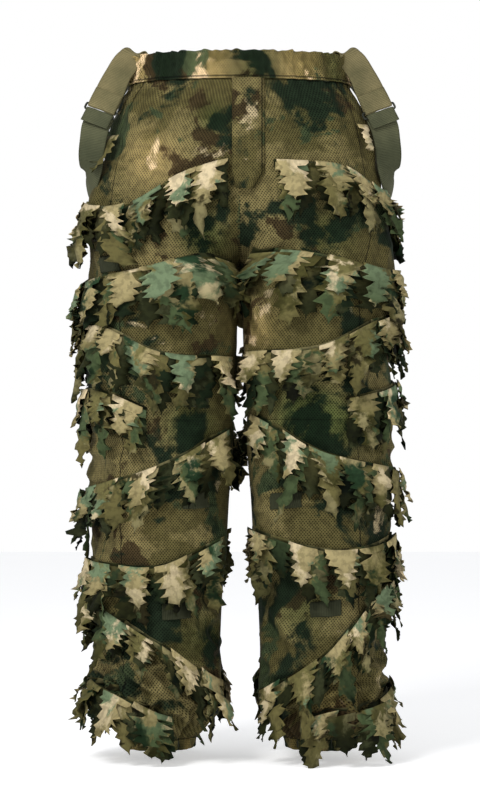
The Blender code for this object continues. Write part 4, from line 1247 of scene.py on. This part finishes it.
STRAP_TURN = (0.9, -0.35, 0.35)  # how the front webbing turns as it comes over the edge
wide, fall, outwards = ring_frame()
for side in SIDES:
    front_end = wrap_end(RING_MIDDLE - fall * BAR_AWAY, fall, outwards, 1.0, wide, 0.027)
    path = tab_path(FRONT_Y, STRAP_TURN) + list(WEBBING_PATH) + front_end
    strap = ribbon(f"{side}_brace_strap", side, path, STRAP_WALL, TAN_TAPE, seed=3)
    bend_over_waist(strap, FRONT_Y)
    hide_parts(f"{side}_front_brace_tab", f"{side}_brace_webbing")

    rear_tab = ribbon(f"{side}_rear_tab", side, tab_path(REAR_Y), STRAP_WALL, GREEN_TAPE, seed=5)
    bend_over_waist(rear_tab, REAR_Y)
    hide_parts(f"{side}_rear_brace_tab")

    band_top = wrap_end(RING_MIDDLE + fall * BAR_AWAY, fall, outwards, -1.0, wide, 0.020)[::-1]
    path = band_top + list(ELASTIC_PATH[1:])
    elastic = ribbon(f"{side}_brace_band", side, path, BAND_WALL, GREEN_TAPE, seed=7)
    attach(elastic, f"{side}_brace")
    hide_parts(f"{side}_brace_elastic")
print("ring frame:", wide.round(2), fall.round(2), outwards.round(2))


# %% [markdown]
# ## Rings
# Each ring is one wire, bent to a rectangle with round corners. Boxes would need their edges rounded one by one,
# so a circle is carried round the outline.


# %% The rings
def rectangle_ring(name, side):
    """A round wire bent to a rounded rectangle: a circle carried round the outline. Its across direction is the
    outline's own normal, so that the wire keeps its section round the corners."""
    turn = np.linspace(0, 2 * math.pi, 65)[:-1]
    swing_x, swing_y = np.cos(turn), np.sin(turn)
    long = np.sign(swing_x) * (RING_HALF_LONG - RING_CORNER) + RING_CORNER * swing_x
    short = np.sign(swing_y) * (RING_HALF_SHORT - RING_CORNER) + RING_CORNER * swing_y
    outline = RING_MIDDLE + long[:, None] * wide + short[:, None] * fall
    ahead = np.roll(outline, -1, axis=0) - np.roll(outline, 1, axis=0)
    ahead /= np.linalg.norm(ahead, axis=1, keepdims=True)
    beside = np.cross(ahead, outwards)
    around = np.linspace(0, 2 * math.pi, 15)
    circle = np.cos(around)[None, :, None] * beside[:, None] + np.sin(around)[None, :, None] * outwards
    points = outline[:, None] + circle * RING_WIRE / 2
    points = np.concatenate([points, points[:1]], axis=0)
    points[..., 0] *= SIDES[side]
    uv = np.stack(np.meshgrid(np.linspace(0, 1, 65), around / 6.3, indexing="ij"), axis=-1)
    piece = mesh_from_grids(name, points[None], uv[None], weld=0.00002)
    bm = bmesh.new()
    bm.from_mesh(piece.data)
    bmesh.ops.recalc_face_normals(bm, faces=bm.faces)
    bm.to_mesh(piece.data)
    bm.free()
    piece.data.materials.append(DARK_PLASTIC)
    return piece


for side in SIDES:
    ring = rectangle_ring(f"{side}_ring", side)
    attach(ring, f"{side}_brace")
    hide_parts(f"{side}_brace_ring")
print("rings:", len(SIDES))

# %% [markdown]
# ## The frame's own pieces
# The elastics, the zip's tape and its slider keep the frame's shapes, because they are right and barely show.
# They get the finished materials.

# %% Finishes for the pieces kept from the frame
KEPT = {
    "waist_elastic": ELASTIC,
    "left_cuff_elastic": ELASTIC,
    "right_cuff_elastic": ELASTIC,
    "fly_zip_tape": ZIP_CLOTH,
    "fly_zip_slider": BLACK_METAL,
}
for name, finish in KEPT.items():
    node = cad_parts[name]
    for spot in node.material_slots:
        spot.material = finish
print("kept from the frame:", sorted(KEPT))

# %% [markdown]
# ## Stage, light and camera
# A pale floor lies just under the cuffs. The world is white all round and greyer overhead, as in a plain studio.
# One large soft light stands high in front, to the left, and a weaker one fills from the right. The camera looks
# level at the middle of the garment from far away, with a long lens, so that the legs keep their true width.

# %% Stage
floor_mesh = bpy.data.meshes.new("floor")
reach = 6.0
floor_z = HEM_Z - 0.018  # a few of the longest leaves dip about 5 mm into it
corners = [(-reach, -reach, floor_z), (reach, -reach, floor_z), (reach, reach, floor_z), (-reach, reach, floor_z)]
floor_mesh.from_pydata(corners, [], [(0, 1, 2, 3)])
floor = bpy.data.objects.new("floor", floor_mesh)
bpy.context.scene.collection.objects.link(floor)
floor_paint, tree, shader = start_material("pale floor", 0.9)
speck = cloth_noise(tree, add_node(tree, "ShaderNodeTexCoord").outputs["Object"], 3.0)
pale = mix_colour(tree, speck, rgb(0.92, 0.92, 0.92), rgb(0.96, 0.96, 0.96))
tree.links.new(pale, shader.inputs["Base Color"])
shader.inputs["Emission Color"].default_value = rgb(1.0, 1.0, 1.0)
shader.inputs["Emission Strength"].default_value = 0.42
floor_mesh.materials.append(floor_paint)

world = bpy.data.worlds.new("studio")
world.use_nodes = True
sky = world.node_tree
looking = add_node(sky, "ShaderNodeTexCoord").outputs["Generated"]
direction = add_node(sky, "ShaderNodeSeparateXYZ", {0: looking})
steepness = math_node(sky, "ABSOLUTE", direction.outputs[2])
overhead = mask_above(sky, steepness, 0.22, 0.60)
shade = mix_colour(sky, overhead, rgb(1.0, 1.0, 1.0), rgb(0.42, 0.43, 0.45))
sky.links.new(shade, sky.nodes["Background"].inputs["Color"])
bpy.context.scene.world = world
bpy.context.scene.view_settings.view_transform = "Standard"
bpy.context.scene.view_settings.look = "None"


def soft_light(name, place, aim, size, power):
    """A square lamp that faces its aim."""
    lamp = bpy.data.lights.new(name, "AREA")
    lamp.size, lamp.energy = size, power
    holder = bpy.data.objects.new(name, lamp)
    holder.location = place
    holder.rotation_euler = (Vector(aim) - Vector(place)).to_track_quat("-Z", "Y").to_euler()
    bpy.context.scene.collection.objects.link(holder)


soft_light("key_light", (-1.3, -2.4, 1.3), (0, 0, -0.5), 1.0, 70.0)
soft_light("fill_light", (2.0, -2.2, 0.3), (0, 0, -0.5), 1.6, 16.0)

print("lights:", [light.name for light in bpy.data.lights])

# %% Camera
VIEW_HEIGHT, CAMERA_DISTANCE, CAMERA_Z = 1.1805, 4.6, -0.512  # the view's height is taken at the garment's front
FRONT_AWAY, SENSOR = 0.1, 36.0  # the front's distance from the middle in metres, and the sensor's height in mm
lens = bpy.data.cameras.new("camera")
lens.sensor_fit = "VERTICAL"
lens.sensor_height = SENSOR
lens.lens = SENSOR * (CAMERA_DISTANCE - FRONT_AWAY) / VIEW_HEIGHT
camera = bpy.data.objects.new("camera", lens)
camera.location = (0.0, -CAMERA_DISTANCE, CAMERA_Z)
camera.rotation_euler = (math.pi / 2, 0.0, 0.0)
bpy.context.scene.collection.objects.link(camera)
bpy.context.scene.camera = camera
print("lens:", round(lens.lens), "mm")
